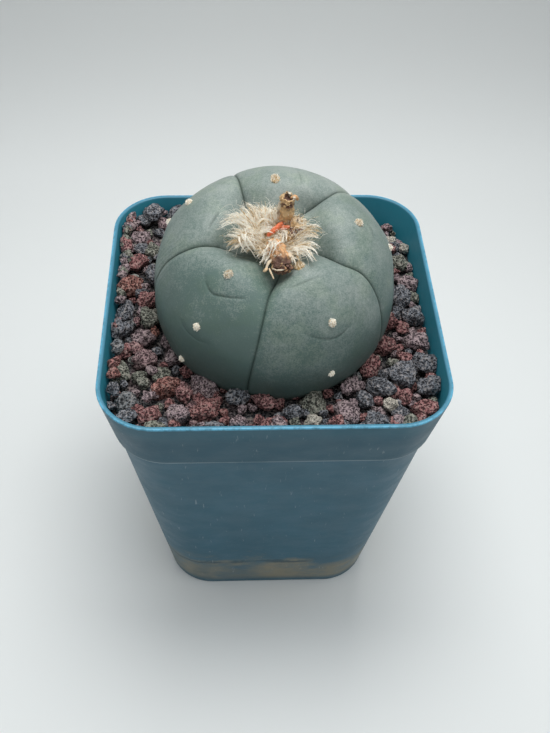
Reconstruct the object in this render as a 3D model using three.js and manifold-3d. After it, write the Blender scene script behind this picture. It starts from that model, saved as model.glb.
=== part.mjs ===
// A five-ribbed button cactus in a square plastic nursery pot, top-dressed with crushed lava.
// Millimetres, +Z up. The origin is the middle of the pot's foot, on the surface that it stands on.
// The viewer's side of the pot is -Y. Angles are in degrees unless a name says otherwise.

import * as THREE from "three";
import { mergeVertices } from "three/addons/utils/BufferGeometryUtils.js";
import Module from "manifold-3d";

const wasm = await Module();
wasm.setup();

// The pot: a thin-walled tapered square with round corners and a stepped-out band under its rim.
const POT = {
  rimSide: 89,
  height: 97.4,
  footSide: 63,
  bandHeight: 17,
  bandFootSide: 84,
  bodyTopSide: 82.6,
  rimCorner: 14.8,
  footCorner: 13.8,
  wall: 1.2,
  edge: 0.6,
  floorTop: 2.6,
  floorEdge: 1,
  footRingWidth: 5,
  footRingHeight: 1.2,
  drainRadius: 3.2,
  drainSpread: 15,
  cornerSteps: 6,
};

// Gap between pieces that only rest against each other, and the finest edge that a cut may leave.
const GAP = 0.3;
const SLIVER = 0.1;

// The plant: a domed body with a dipped crown, whose axis leans a little towards the viewer.
const PLANT = {
  x: 0.5,
  y: -0.2,
  equatorAboveRim: 2.8,
  leanDegrees: 12,
  radius: 31.6,
  domeHeight: 29.7,
  domePower: 2.4,
  crownDip: 10,
  crownDipRadius: 11,
  rootLength: 66,
  rootRadius: 13,
  rootFlare: 30,
};

// Azimuth of each furrow at polar angles 0, 15, 30 ... 90 from the crown.
const FURROW_STEP = 15;
const FURROWS = [
  [66, 51, 44.5, 44, 42, 40.5, 40],
  [146, 127, 119.5, 114.5, 113, 113, 113],
  [225, 192, 187.5, 186.5, 185.3, 184.8, 184.5],
  [286, 268, 262.5, 260.5, 259, 257.3, 256],
  [350, 340, 333, 334.5, 333, 331, 330],
];
const FURROW = { deepest: 4, deepestAt: 18, shallow: 0.5, narrow: 1.2, wide: 3.2, widthFade: 45 };

// Woolly areoles down each rib, each at an angle from the crown and a share across the rib.
const AREOLES = [
  [[26, 0.59]],
  [[47.5, 0.5], [70, 0.56]],
  [[29, 0.53], [61.3, 0.57], [88.3, 0.52]],
  [[17, 0.43], [51, 0.52], [80.5, 0.51]],
  [[35.5, 0.5], [63.8, 0.48]],
];
const AREOLE = { radius: 1.15, rise: 0.55, spread: 5.5 };

// The wool in the crown: a cushion that fills the dip, with locks of hair standing out of it.
const WOOL = {
  thickness: 3.2,
  locks: 64,
  rootRadius: 0.72,
  tipRadius: 0.32,
  innermost: 1.5,
  outermost: 9,
  reach: 16.5,
  reachSwing: 4.5,
  swingAzimuth: 225,
};

// The top dressing. Dark stones stand on a dark bed and come up through the red one. A few small
// pumice stones lie at the pale spots, given as x and y.
const SOIL_TOP = 84;
const GRAVEL = {
  bedBottom: SOIL_TOP + GAP,
  darkBedTop: 87,
  redBedTop: 90.4,
  stoneMiddle: 91.9,
  heightSpread: 0.9,
  backRightDip: 3.6,
  backLeftRise: 3.4,
  topBelowRim: 0.4,
  smallest: 2,
  largest: 3.9,
  packing: 0.95,
  tries: 9000,
  darkShare: 0.42,
  footSink: 1.6,
  paleRadius: 2.1,
  paleSpots: [[40.5, 28.5], [36.8, 32.4], [9, -38], [29, -33]],
};

// Colours of the finished pieces.
const COLOUR = {
  pot: 0x2f6478,
  soil: 0x3a2f28,
  redLava: 0x6b3a36,
  darkLava: 0x34363a,
  pumice: 0xcfc8b8,
  skin: 0x71867d,
  wool: 0xdccfae,
  driedFruit: 0x9a7547,
  driedFlower: 0x6f4a35,
  ripeFruit: 0xc85a3c,
};

// A small seeded generator, so that every build draws the same stones and locks.
function seededDraw(seed) {
  let state = seed >>> 0;
  return () => {
    state = (Math.imul(state, 1664525) + 1013904223) >>> 0;
    return state / 4294967296;
  };
}

const radians = THREE.MathUtils.degToRad;
const lerp = THREE.MathUtils.lerp;

// Solids and skins

// A closed geometry as a solid that can be cut and joined.
function solidFrom(geometry) {
  const loose = geometry.index ? geometry.toNonIndexed() : geometry;
  const bare = new THREE.BufferGeometry().setAttribute("position", loose.getAttribute("position"));
  const merged = mergeVertices(bare, 1e-4);
  return new wasm.Manifold(
    new wasm.Mesh({
      numProp: 3,
      vertProperties: merged.attributes.position.array,
      triVerts: new Uint32Array(merged.index.array),
    }),
  );
}

function geometryFrom(solid) {
  const mesh = solid.getMesh();
  return new THREE.BufferGeometry()
    .setAttribute("position", new THREE.BufferAttribute(mesh.vertProperties, 3))
    .setIndex(new THREE.BufferAttribute(mesh.triVerts, 1));
}

// The one body that a node keeps, without the scraps that a cut leaves loose and its finest slivers.
function largestBody(solid) {
  return solid.simplify(SLIVER).decompose().sort((a, b) => b.volume() - a.volume())[0];
}

// A closed skin over rings of equally many points, each anticlockwise seen from its far end.
// A fan to one point closes it at the start and at the end.
function skin(start, rings, end) {
  const count = rings[0].length;
  const points = [start, ...rings.flat(), end];
  const faces = [];
  const at = (ring, i) => 1 + ring * count + (i % count);
  for (let i = 0; i < count; i++) {
    faces.push(0, at(0, i + 1), at(0, i));
    for (let ring = 0; ring + 1 < rings.length; ring++) {
      faces.push(at(ring, i), at(ring, i + 1), at(ring + 1, i + 1));
      faces.push(at(ring, i), at(ring + 1, i + 1), at(ring + 1, i));
    }
    faces.push(points.length - 1, at(rings.length - 1, i), at(rings.length - 1, i + 1));
  }
  return new THREE.BufferGeometry().setFromPoints(points).setIndex(faces);
}

// A tube along a path, with a radius at each point, pinched to a point past both ends.
// rough(ring, side) scales each corner's radius.
function tube(path, radii, sides, rough = () => 1) {
  const before = (i) => path[Math.max(0, i - 1)];
  const after = (i) => path[Math.min(path.length - 1, i + 1)];
  const rings = path.map((middle, i) => {
    const along = after(i).clone().sub(before(i)).normalize();
    const across = new THREE.Vector3(0.31, 0.94, 0.12).cross(along).normalize();
    const over = along.clone().cross(across);
    return Array.from({ length: sides }, (_, side) => {
      const turn = (2 * Math.PI * side) / sides;
      const reach = radii[i] * rough(i, side);
      return middle
        .clone()
        .addScaledVector(across, reach * Math.cos(turn))
        .addScaledVector(over, reach * Math.sin(turn));
    });
  });
  const last = path.length - 1;
  const beyond = (end, next, radius) =>
    path[end].clone().addScaledVector(path[end].clone().sub(path[next]).normalize(), radius * 0.5);
  return skin(beyond(0, 1, radii[0]), rings, beyond(last, last - 1, radii[last]));
}

// The pot

// One ring of a square with round corners, anticlockwise from above.
function roundedSquare(half, corner, z) {
  const points = [];
  for (let quarter = 0; quarter < 4; quarter++) {
    const middle = new THREE.Vector2(half - corner, half - corner);
    middle.rotateAround(new THREE.Vector2(), (quarter * Math.PI) / 2);
    for (let step = 0; step <= POT.cornerSteps; step++) {
      const turn = ((quarter + step / POT.cornerSteps) * Math.PI) / 2;
      points.push(
        new THREE.Vector3(middle.x + corner * Math.cos(turn), middle.y + corner * Math.sin(turn), z),
      );
    }
  }
  return points;
}

const outerCorner = (z) => lerp(POT.footCorner, POT.rimCorner, z / POT.height);
const bandFoot = POT.height - POT.bandHeight;

// Half the width of the space inside the wall at a height.
function insideHalf(z) {
  const upTheBody = lerp(POT.footSide, POT.bodyTopSide, z / bandFoot);
  const upTheBand = lerp(POT.bandFootSide, POT.rimSide, (z - bandFoot) / POT.bandHeight);
  return (z < bandFoot ? upTheBody : upTheBand) / 2 - POT.wall;
}

const insideRing = (z, clear) =>
  roundedSquare(insideHalf(z) - clear, outerCorner(z) - POT.wall - clear, z);

// Round drain holes, one in the middle of the floor and one towards each corner.
function drains() {
  const places = [[0, 0], [1, 1], [-1, 1], [-1, -1], [1, -1]];
  return places.map(([x, y]) => {
    const drill = new THREE.CylinderGeometry(POT.drainRadius, POT.drainRadius, 4 * POT.floorTop, 16);
    drill.rotateX(Math.PI / 2).translate(x * POT.drainSpread, y * POT.drainSpread, 0);
    return solidFrom(drill);
  });
}

function pot() {
  const { edge } = POT;
  const foot = POT.footSide / 2;
  const rim = POT.rimSide / 2;
  const ring = (half, corner, z) => roundedSquare(half, corner, z);
  const outside = (half, z) => ring(half, outerCorner(z), z);
  const inFoot = foot - POT.footRingWidth;
  const rings = [
    ring(inFoot - edge, POT.footCorner - POT.footRingWidth, POT.footRingHeight),
    ring(inFoot, POT.footCorner - POT.footRingWidth, 0),
    ring(foot - edge, POT.footCorner - edge, 0),
    outside(foot, edge),
    outside(POT.bodyTopSide / 2, bandFoot - edge),
    outside(POT.bandFootSide / 2, bandFoot),
    outside(rim, POT.height - edge),
    outside(rim - edge / 2, POT.height),
    ring(rim - POT.wall + edge / 4, POT.rimCorner - POT.wall, POT.height),
    insideRing(POT.height - edge, 0),
    insideRing(bandFoot, 0),
    insideRing(bandFoot - edge, 0),
    insideRing(POT.floorTop + POT.floorEdge, 0),
    insideRing(POT.floorTop, POT.floorEdge),
  ];
  const middle = (z) => new THREE.Vector3(0, 0, z);
  const shell = solidFrom(skin(middle(POT.footRingHeight), rings, middle(POT.floorTop)));
  return drains().reduce((left, drill) => left.subtract(drill), shell);
}

// The plant's body

// Radius and height of the dome at a polar angle of up to 90 from the crown.
function dome(angle) {
  const turn = radians(angle);
  const radius = PLANT.radius * Math.sin(turn) ** (2 / PLANT.domePower);
  const dip = PLANT.crownDip * Math.exp(-((radius / PLANT.crownDipRadius) ** 2));
  const height = PLANT.domeHeight * Math.max(0, Math.cos(turn)) ** (2 / PLANT.domePower) - dip;
  return new THREE.Vector2(radius, height);
}

// Radius at a depth below the widest ring: the flank draws in to a tapering root.
function flankRadius(depth) {
  const root = PLANT.rootRadius * Math.max(0, 1 - depth / PLANT.rootLength) ** 0.8;
  const flare = (1 + Math.cos(Math.PI * Math.min(1, depth / PLANT.rootFlare))) / 2;
  return root + (PLANT.radius - root) * flare;
}

// The plain outline: the dome up to 90 degrees, then the flank and the root, whose tip is at 180.
function outline(angle) {
  if (angle <= 90) return dome(angle);
  const depth = PLANT.rootLength * ((angle - 90) / 90) ** 1.25;
  return new THREE.Vector2(flankRadius(depth), -depth);
}

// Azimuth of a furrow, or of the next ones round when the number passes four.
function furrowAzimuth(number, angle) {
  const course = FURROWS[((number % 5) + 5) % 5];
  const knots = course.map((azimuth, i) => new THREE.Vector2(i * FURROW_STEP, azimuth));
  const curve = new THREE.SplineCurve(knots);
  return curve.getPoint(Math.min(1, angle / 90)).y + 360 * Math.floor(number / 5);
}

// How far the skin sinks at a distance from the nearest furrow.
function furrowDepth(angle, distance) {
  const share = angle / FURROW.deepestAt;
  const deep = FURROW.deepest * (share * Math.exp(1 - share)) ** 3;
  const shallow = FURROW.shallow * (1 - Math.exp(-angle / 10));
  const width = FURROW.narrow + FURROW.wide * Math.exp(-angle / FURROW.widthFade);
  return (deep + shallow) * Math.exp(-distance / width);
}

// A point of the outline at a share from one furrow to the next, with the outline's own normal.
function plainPoint(rib, share, angle) {
  const left = furrowAzimuth(rib, angle);
  const right = furrowAzimuth(rib + 1, angle);
  const azimuth = radians(lerp(left, right, share));
  const here = outline(angle);
  const slope = outline(angle + 0.5).sub(outline(Math.max(0, angle - 0.5)));
  const normal = new THREE.Vector2(-slope.y, slope.x).normalize();
  const turned = (flat) => new THREE.Vector3(flat.x * Math.cos(azimuth), flat.x * Math.sin(azimuth), flat.y);
  const distance = Math.min(share, 1 - share) * radians(right - left) * here.x;
  return { point: turned(here), normal: turned(normal), distance };
}

// The skin itself: the outline, sunk at the furrows and raised a little under each areole.
function bodyPoint(rib, share, angle, offset = 0) {
  const { point, normal, distance } = plainPoint(rib, share, angle);
  const sink = furrowDepth(Math.min(angle, 90), distance);
  const fade = angle > 90 ? Math.max(0, 1 - (angle - 90) / 25) : 1;
  const raised = areoles.reduce(
    (sum, areole) => sum + AREOLE.rise * Math.exp(-((point.distanceTo(areole.point) / AREOLE.spread) ** 2)),
    0,
  );
  return point.addScaledVector(normal, offset - sink * fade + raised);
}

// The areoles' places on the plain outline.
function areolePlaces() {
  return AREOLES.flatMap((row, rib) =>
    row.map(([angle, share]) => ({ rib, share, angle, ...plainPoint(rib, share, angle) })),
  );
}
const areoles = areolePlaces();

const RIB_STEPS = 12;
const DOME_RINGS = 16;
const FLANK_RINGS = 8;
const flankAngle = (ring) => 180 - (90 * ring) / FLANK_RINGS;
const domeAngle = (ring) => 90 * (1 - ring / DOME_RINGS) ** 1.15;

// One ring of the skin, with a number of steps from each furrow to the next.
function bodyRing(angle, steps, offset = 0) {
  const ring = [];
  for (let rib = 0; rib < 5; rib++)
    for (let step = 0; step < steps; step++) ring.push(bodyPoint(rib, step / steps, angle, offset));
  return ring;
}

// The whole body as one skin, from the root's tip to the crown.
function bodySkin() {
  const rings = [];
  for (let ring = 1; ring < FLANK_RINGS; ring++) rings.push(bodyRing(flankAngle(ring), RIB_STEPS));
  for (let ring = 0; ring < DOME_RINGS; ring++) rings.push(bodyRing(domeAngle(ring), RIB_STEPS));
  return skin(new THREE.Vector3(0, 0, -PLANT.rootLength), rings, new THREE.Vector3(0, 0, dome(0).y));
}

// A low tuft of wool on an areole, its foot sunk in the skin.
function areoleTuft(areole, draw) {
  const tuft = new THREE.IcosahedronGeometry(AREOLE.radius, 0);
  const wide = lerp(0.85, 1.1, draw());
  tuft.scale(wide, 1, lerp(0.75, 1, draw())).rotateZ(draw() * Math.PI);
  const stand = new THREE.Quaternion().setFromUnitVectors(new THREE.Vector3(0, 0, 1), areole.normal);
  const seat = bodyPoint(areole.rib, areole.share, areole.angle, 0.1);
  return solidFrom(tuft.applyQuaternion(stand).translate(seat.x, seat.y, seat.z));
}

function cactusBody() {
  const draw = seededDraw(7);
  return wasm.Manifold.union([solidFrom(bodySkin()), ...areoles.map((areole) => areoleTuft(areole, draw))]);
}

// What stands in the crown

const crown = (x, y, z) => new THREE.Vector3(x, y, z);

// Corners of a crumpled dry piece, pushed in and out by a draw.
function crumple(seed, sides, spread) {
  const draw = seededDraw(seed);
  const mostRings = 8;
  const drawn = Array.from({ length: mostRings * sides }, () => 1 + spread * (2 * draw() - 1));
  return (ring, side) => drawn[ring * sides + side];
}

// A withered fruit that stands up, with a torn, flared top.
function uprightFruit(grown = 0) {
  const path = [
    crown(2.9, 4.2, 21.2), crown(2.7, 4.6, 23.4), crown(2.5, 5, 25.4), crown(2.8, 5.4, 27.4),
    crown(2.6, 5.8, 29.4), crown(2.8, 6.1, 31.2), crown(2.9, 6.3, 32.4),
  ];
  const radii = [1, 1.7, 1.9, 1.7, 1.65, 1.95, 1.35].map((radius) => radius + grown);
  const stalk = solidFrom(tube(path, radii, 9, crumple(3, 9, 0.16)));
  const flap = [crown(3.2, 6.2, 31.2), crown(4.4, 6.2, 32.2), crown(5.5, 6, 31.9), crown(5.9, 5.9, 30.9)];
  return stalk.add(solidFrom(tube(flap, [0.8, 0.7, 0.55, 0.35].map((radius) => radius + grown), 5)));
}

// A ripe fruit that just shows in the wool.
function ripeFruit(grown = 0) {
  const path = [crown(-2.6, -0.6, 23.4), crown(-1.4, 0.3, 24.2), crown(0, 1.5, 24.7), crown(1.1, 2.4, 24.8)];
  const radii = [0.4, 0.8, 0.95, 0.6].map((radius) => radius + grown);
  return solidFrom(tube(path, radii, 7, crumple(5, 7, 0.08)));
}

// Withered petals as curled strips that fan out from a crumpled middle.
function witheredFlower(middle, radii, petals, seed, grown) {
  const heart = solidFrom(tube(middle, radii.map((radius) => radius + grown), 8, crumple(seed, 8, 0.24)));
  const strips = petals.map((path) => {
    const steps = path.map((_, i) => lerp(0.62, 0.4, i / (path.length - 1)) + grown);
    return solidFrom(tube(path, steps, 4));
  });
  return wasm.Manifold.union([heart, ...strips]);
}

// The spent flower that lies forward over the lip of the crown, with two dry shreds.
function frontFlower(grown = 0) {
  const middle = [
    crown(-0.9, -3.2, 24.6), crown(-0.8, -4.8, 26), crown(-0.2, -6.6, 27), crown(0.2, -8.6, 27.6),
    crown(0.4, -10.4, 27.8), crown(0.5, -11.6, 27.6),
  ];
  const petals = [
    [crown(-1, -9.8, 27.6), crown(-2.3, -11.6, 27.9), crown(-3.2, -12.8, 27.4)],
    [crown(-0.6, -10.4, 27.3), crown(-1.6, -13.2, 27.6), crown(-1.9, -15.6, 27.2)],
    [crown(1, -10.6, 27.4), crown(2, -12, 28.4), crown(2.4, -12.6, 29.2)],
    [crown(0.2, -10.8, 27.6), crown(0.2, -12.4, 28.6), crown(-0.2, -13, 29.2)],
    [crown(1.4, -7.4, 27.4), crown(2.6, -8.4, 28.6), crown(2.9, -9.6, 29)],
  ];
  return witheredFlower(middle, [1.1, 1.7, 1.9, 2.1, 2.3, 1.5], petals, 11, grown);
}

// A smaller spent flower behind the ripe fruit.
function backFlower(grown = 0) {
  const middle = [crown(4.6, 1.4, 22.8), crown(5.1, 2, 24.4), crown(5.4, 2.6, 25.8), crown(5.8, 2.9, 26.8)];
  const petals = [
    [crown(5.4, 2.2, 25), crown(6.8, 2.6, 26.6), crown(7.2, 3.2, 27.4)],
    [crown(5, 1.6, 24.8), crown(5.4, 0.4, 26.2), crown(6, -0.2, 27)],
  ];
  return witheredFlower(middle, [1, 1.6, 1.8, 1.1], petals, 13, grown);
}

const driedPieces = [uprightFruit, ripeFruit, frontFlower, backFlower];

// The cushion of wool, which follows the skin under it and thins out towards its edge.
function woolCushion() {
  const steps = RIB_STEPS / 2;
  const clear = GAP + 0.15;
  const ring = (number, lift) => bodyRing(domeAngle(DOME_RINGS - number), steps, lift);
  const under = [1, 2, 3].map((number) => ring(number, clear));
  const over = [3, 2, 1].map((number) => {
    const out = number / 3.4;
    return ring(number, clear + WOOL.thickness * Math.sqrt(1 - out * out));
  });
  const low = dome(0).y + clear;
  return skin(crown(0, 0, low), [...under, ...over], crown(0, 0, low + WOOL.thickness));
}

// A point above the dome, at an azimuth and an angle from the crown.
function overDome(azimuth, angle, lift) {
  const { x, y } = dome(angle);
  return new THREE.Vector3(x * Math.cos(radians(azimuth)), x * Math.sin(radians(azimuth)), y + lift);
}

// A lock of wool: a three-sided spike from its root in the cushion out over the skin. The outer
// ones lie lower. They reach further on the side that the crown's wool has been combed towards.
function woolLock(number, draw) {
  const goldenTurn = 137.508;
  const azimuth = number * goldenTurn + lerp(-10, 10, draw());
  const outward = Math.sqrt((number + 0.5) / WOOL.locks);
  const reach = WOOL.reach + WOOL.reachSwing * Math.cos(radians(azimuth - WOOL.swingAzimuth));
  const root = lerp(WOOL.innermost, WOOL.outermost, outward);
  const tip = lerp(root + 5, reach, outward) * lerp(0.85, 1.15, draw());
  const low = overDome(azimuth, root, 0.4 * WOOL.thickness);
  const high = overDome(azimuth + lerp(-16, 16, draw()), tip, lerp(6, 2.8, outward) + lerp(-0.6, 1, draw()));
  return solidFrom(tube([low, high], [WOOL.rootRadius, WOOL.tipRadius], 3));
}

function crownWool() {
  const draw = seededDraw(21);
  const locks = Array.from({ length: WOOL.locks }, (_, number) => woolLock(number, draw));
  const whole = wasm.Manifold.union([solidFrom(woolCushion()), ...locks]);
  return largestBody(driedPieces.reduce((left, piece) => left.subtract(piece(1.3 * GAP)), whole));
}

// Soil and top dressing

// The plant's own frame: its origin is the middle of the body's widest ring.
const plant = new THREE.Group();
plant.position.set(PLANT.x, PLANT.y, POT.height + PLANT.equatorAboveRim);
plant.rotation.x = radians(PLANT.leanDegrees);
plant.updateMatrixWorld(true);

// A plain hole for the plant to stand in. It clears the mounds and furrows of the skin.
function plantHole() {
  const sides = 40;
  const clear = AREOLE.rise + GAP;
  const profile = [new THREE.Vector2(0, -PLANT.rootLength - clear)];
  for (let ring = 1; ring <= FLANK_RINGS; ring++) {
    const here = outline(flankAngle(ring));
    profile.push(new THREE.Vector2((here.x + clear) / Math.cos(Math.PI / sides), here.y));
  }
  const widest = profile[profile.length - 1].x;
  profile.push(new THREE.Vector2(widest, PLANT.domeHeight), new THREE.Vector2(0, PLANT.domeHeight));
  const hole = new THREE.LatheGeometry(profile, sides).rotateX(Math.PI / 2);
  return solidFrom(hole.applyMatrix4(plant.matrixWorld));
}

// A solid through a stack of rings. The middle of each end is as high as that ring's highest corner.
function potFill(rings) {
  const middle = (ring) => new THREE.Vector3(0, 0, Math.max(...ring.map((corner) => corner.z)));
  return solidFrom(skin(middle(rings[0]), rings, middle(rings[rings.length - 1])));
}

// How much higher the gravel lies than in the middle: it rises to the back left corner and dips to
// the back right one.
function gravelRise(x, y) {
  const backLeft = Math.max(0, (y - x) / POT.rimSide) ** 2;
  const backRight = Math.max(0, (y + x) / POT.rimSide) ** 2;
  return GRAVEL.backLeftRise * backLeft - GRAVEL.backRightDip * backRight;
}

function slopedRing(z) {
  return insideRing(z, GAP).map(({ x, y }) => new THREE.Vector3(x, y, z + gravelRise(x, y)));
}

// The mix keeps clear of the floor's rounded edge, and of the step in the wall under the band.
function pottingMix(hole) {
  const low = POT.floorTop + GAP;
  const whole = potFill([
    insideRing(low, POT.floorEdge + GAP),
    insideRing(low + POT.floorEdge, GAP),
    insideRing(bandFoot - 2 * POT.edge, GAP),
    insideRing(bandFoot, 4 * GAP),
    insideRing(SOIL_TOP, GAP),
  ]);
  return whole.subtract(hole);
}

// True if a stone of this radius fits between the pot's wall and the plant.
function stoneFits(x, y, radius) {
  const half = insideHalf(GRAVEL.stoneMiddle) - 0.5 * radius;
  const corner = POT.rimCorner - POT.wall;
  const pastX = Math.max(0, Math.abs(x) - half + corner);
  const pastY = Math.max(0, Math.abs(y) - half + corner);
  const fromPlant = plant.worldToLocal(new THREE.Vector3(x, y, GRAVEL.stoneMiddle));
  const besidePlant = Math.hypot(fromPlant.x, fromPlant.y) > flankRadius(-fromPlant.z);
  return besidePlant && Math.max(Math.abs(x), Math.abs(y)) < half && Math.hypot(pastX, pastY) < corner;
}

// The pale stones, then the lava thrown in one by one from large to small. Each stone is kept if it
// finds room among the others.
function stonePlaces() {
  const draw = seededDraw(2024);
  const stones = GRAVEL.paleSpots.map(([x, y], seed) => {
    return { x, y, z: GRAVEL.stoneMiddle + gravelRise(x, y), radius: GRAVEL.paleRadius, shade: 0, seed };
  });
  const half = insideHalf(GRAVEL.stoneMiddle);
  for (let i = 0; i < GRAVEL.tries; i++) {
    const x = lerp(-half, half, draw());
    const y = lerp(-half, half, draw());
    const usual = lerp(GRAVEL.largest, GRAVEL.smallest, (i / GRAVEL.tries) ** 0.6);
    const radius = usual * lerp(0.85, 1.1, draw());
    const free = stones.every((s) => Math.hypot(s.x - x, s.y - y) > GRAVEL.packing * (s.radius + radius));
    if (free && stoneFits(x, y, radius)) {
      const z = GRAVEL.stoneMiddle + gravelRise(x, y) + GRAVEL.heightSpread * (2 * draw() - 1);
      stones.push({ x, y, z, radius, shade: draw(), seed: Math.floor(draw() * 100000) });
    }
  }
  return stones;
}

// The dozen corners of an icosahedron, merged from its loose faces.
function stoneBlank() {
  const loose = new THREE.IcosahedronGeometry(1, 0).getAttribute("position");
  return mergeVertices(new THREE.BufferGeometry().setAttribute("position", loose));
}

// One angular stone, grown on all sides by a clearance. A dark one has a foot that reaches its bed.
function stone(place, grown = 0, footDepth = 0) {
  const draw = seededDraw(place.seed);
  const blank = stoneBlank();
  const corners = blank.getAttribute("position");
  const squash = new THREE.Vector3(lerp(0.85, 1.2, draw()), lerp(0.85, 1.2, draw()), lerp(0.75, 1, draw()));
  const spin = new THREE.Euler(draw() * Math.PI, draw() * Math.PI, draw() * Math.PI);
  for (let i = 0; i < corners.count; i++) {
    const corner = new THREE.Vector3().fromBufferAttribute(corners, i);
    corner.applyEuler(spin).multiply(squash);
    corner.multiplyScalar(place.radius * lerp(0.84, 1.12, draw()) + grown);
    if (footDepth && corner.z < 0) corner.z = (corner.z * footDepth) / place.radius - grown;
    corners.setXYZ(i, corner.x + place.x, corner.y + place.y, corner.z + place.z);
  }
  return solidFrom(blank);
}

// The two colours of lava, each one body on its own bed, and the pale stones in pockets between.
function topDressing(hole) {
  const places = stonePlaces();
  const pale = places.slice(0, GRAVEL.paleSpots.length);
  const lava = places.slice(GRAVEL.paleSpots.length);
  const dark = lava.filter((s) => s.shade < GRAVEL.darkShare);
  const red = lava.filter((s) => s.shade >= GRAVEL.darkShare);
  const clear = 1.5 * GAP;
  const footDepth = GRAVEL.stoneMiddle - GRAVEL.darkBedTop + GRAVEL.footSink;
  const join = (solids) => wasm.Manifold.union(solids);
  const room = join([hole, ...pale.map((s) => stone(s, clear))]);
  const darkRoom = join(dark.map((s) => stone(s, clear, footDepth)));
  const bottom = insideRing(GRAVEL.bedBottom, GAP);
  const top = insideRing(POT.height - GRAVEL.topBelowRim, GAP);
  const redBottom = slopedRing(GRAVEL.darkBedTop + GAP);
  const whole = potFill([bottom, top]);
  const upper = potFill([redBottom, top]).intersect(whole);
  const darkBed = potFill([bottom, slopedRing(GRAVEL.darkBedTop)]);
  const redBed = potFill([redBottom, slopedRing(GRAVEL.redBedTop)]);
  const darkLava = join([darkBed, ...dark.map((s) => stone(s, 0, footDepth))]);
  const redLava = join([redBed, ...red.map((s) => stone(s))]);
  return {
    darkLava: largestBody(darkLava.intersect(whole).subtract(room)),
    redLava: largestBody(redLava.intersect(upper).subtract(join([room, darkRoom]))),
    pumice: pale.map((s) => stone(s).intersect(upper).subtract(hole)),
  };
}

// The scene graph

function mesh(name, solid, colour, roughness) {
  const material = new THREE.MeshStandardMaterial({ color: colour, roughness, metalness: 0 });
  const made = new THREE.Mesh(geometryFrom(solid), material);
  made.name = name;
  return made;
}

const hole = plantHole();
const dressing = topDressing(hole);

plant.add(
  mesh("cactus_body", cactusBody(), COLOUR.skin, 0.75),
  mesh("crown_wool", crownWool(), COLOUR.wool, 0.95),
  mesh("dried_fruit", uprightFruit(), COLOUR.driedFruit, 0.85),
  mesh("ripe_fruit", ripeFruit(), COLOUR.ripeFruit, 0.5),
  mesh("spent_flower_front", frontFlower(), COLOUR.driedFlower, 0.9),
  mesh("spent_flower_back", backFlower(), COLOUR.driedFlower, 0.9),
);

const pottedCactus = new THREE.Group();
pottedCactus.add(
  mesh("pot", pot(), COLOUR.pot, 0.45),
  mesh("potting_mix", pottingMix(hole), COLOUR.soil, 1),
  mesh("dark_lava", dressing.darkLava, COLOUR.darkLava, 0.95),
  mesh("red_lava", dressing.redLava, COLOUR.redLava, 0.95),
  ...dressing.pumice.map((solid, i) => mesh(`pumice_${i + 1}`, solid, COLOUR.pumice, 0.9)),
  plant,
);

export default pottedCactus;
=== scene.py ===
"""Potted button cactus: a five-ribbed, spineless cactus with a woolly crown, in a square plastic
nursery pot that is top-dressed with crushed lava. Shapes are worked out in millimetres, in the CAD
frame, and stored in metres. The viewer's side of the pot is -Y."""

import itertools
import math

import bpy
import numpy as np
from mathutils import Matrix, Vector


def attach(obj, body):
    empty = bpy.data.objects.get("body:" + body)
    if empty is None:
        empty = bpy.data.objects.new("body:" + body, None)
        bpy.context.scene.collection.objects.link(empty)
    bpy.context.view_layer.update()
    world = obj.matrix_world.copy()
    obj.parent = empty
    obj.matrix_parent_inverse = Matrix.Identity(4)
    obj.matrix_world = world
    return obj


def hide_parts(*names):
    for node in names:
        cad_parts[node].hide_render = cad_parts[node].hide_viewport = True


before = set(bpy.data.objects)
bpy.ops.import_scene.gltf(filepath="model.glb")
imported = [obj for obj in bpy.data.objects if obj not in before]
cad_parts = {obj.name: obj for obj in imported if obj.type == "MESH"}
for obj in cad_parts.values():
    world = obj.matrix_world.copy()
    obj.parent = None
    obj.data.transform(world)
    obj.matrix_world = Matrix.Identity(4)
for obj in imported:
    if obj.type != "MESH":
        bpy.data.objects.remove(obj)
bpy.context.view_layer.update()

bl_info = {
    "name": "Potted button cactus",
    "version": (1, 0, 0),
    "blender": (4, 5, 0),
    "location": "View3D > Sidebar > Cactus",
    "description": "Builds a button cactus with its pot, top dressing, crown wool and studio",
    "category": "Object",
}

MM = 0.001

# Parts of the pot's section that a user has no reason to change.
POT_BAND_FOOT_SIDE = 84
POT_BODY_TOP_SIDE = 82.6
POT_RIM_CORNER = 14.8
POT_FOOT_CORNER = 13.8
POT_EDGE = 0.6
POT_FLOOR_TOP = 2.6
POT_FLOOR_EDGE = 1
POT_FOOT_RING_WIDTH = 5
POT_FOOT_RING_HEIGHT = 1.2
DRAIN_RADIUS = 3.2
DRAIN_SPREAD = 15

# The drill that makes the drain holes: the levels that it runs between, and its sides.
DRILL_LEVELS = (-4.0, 8.0)
DRILL_SIDES = 40

# Steps along each round corner and each straight side of the pot, and points round each bend of its
# profile.
CORNER_STEPS = 14
SIDE_STEPS = 12
BEND_STEPS = 6

# The plant's outline in its own frame, whose origin is the middle of the body's widest ring.
PLANT_X = 0.5
PLANT_Y = -0.2
DOME_POWER = 2.4
CROWN_DIP_RADIUS = 11
ROOT_LENGTH = 66
ROOT_RADIUS = 13
ROOT_FLARE = 30

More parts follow.
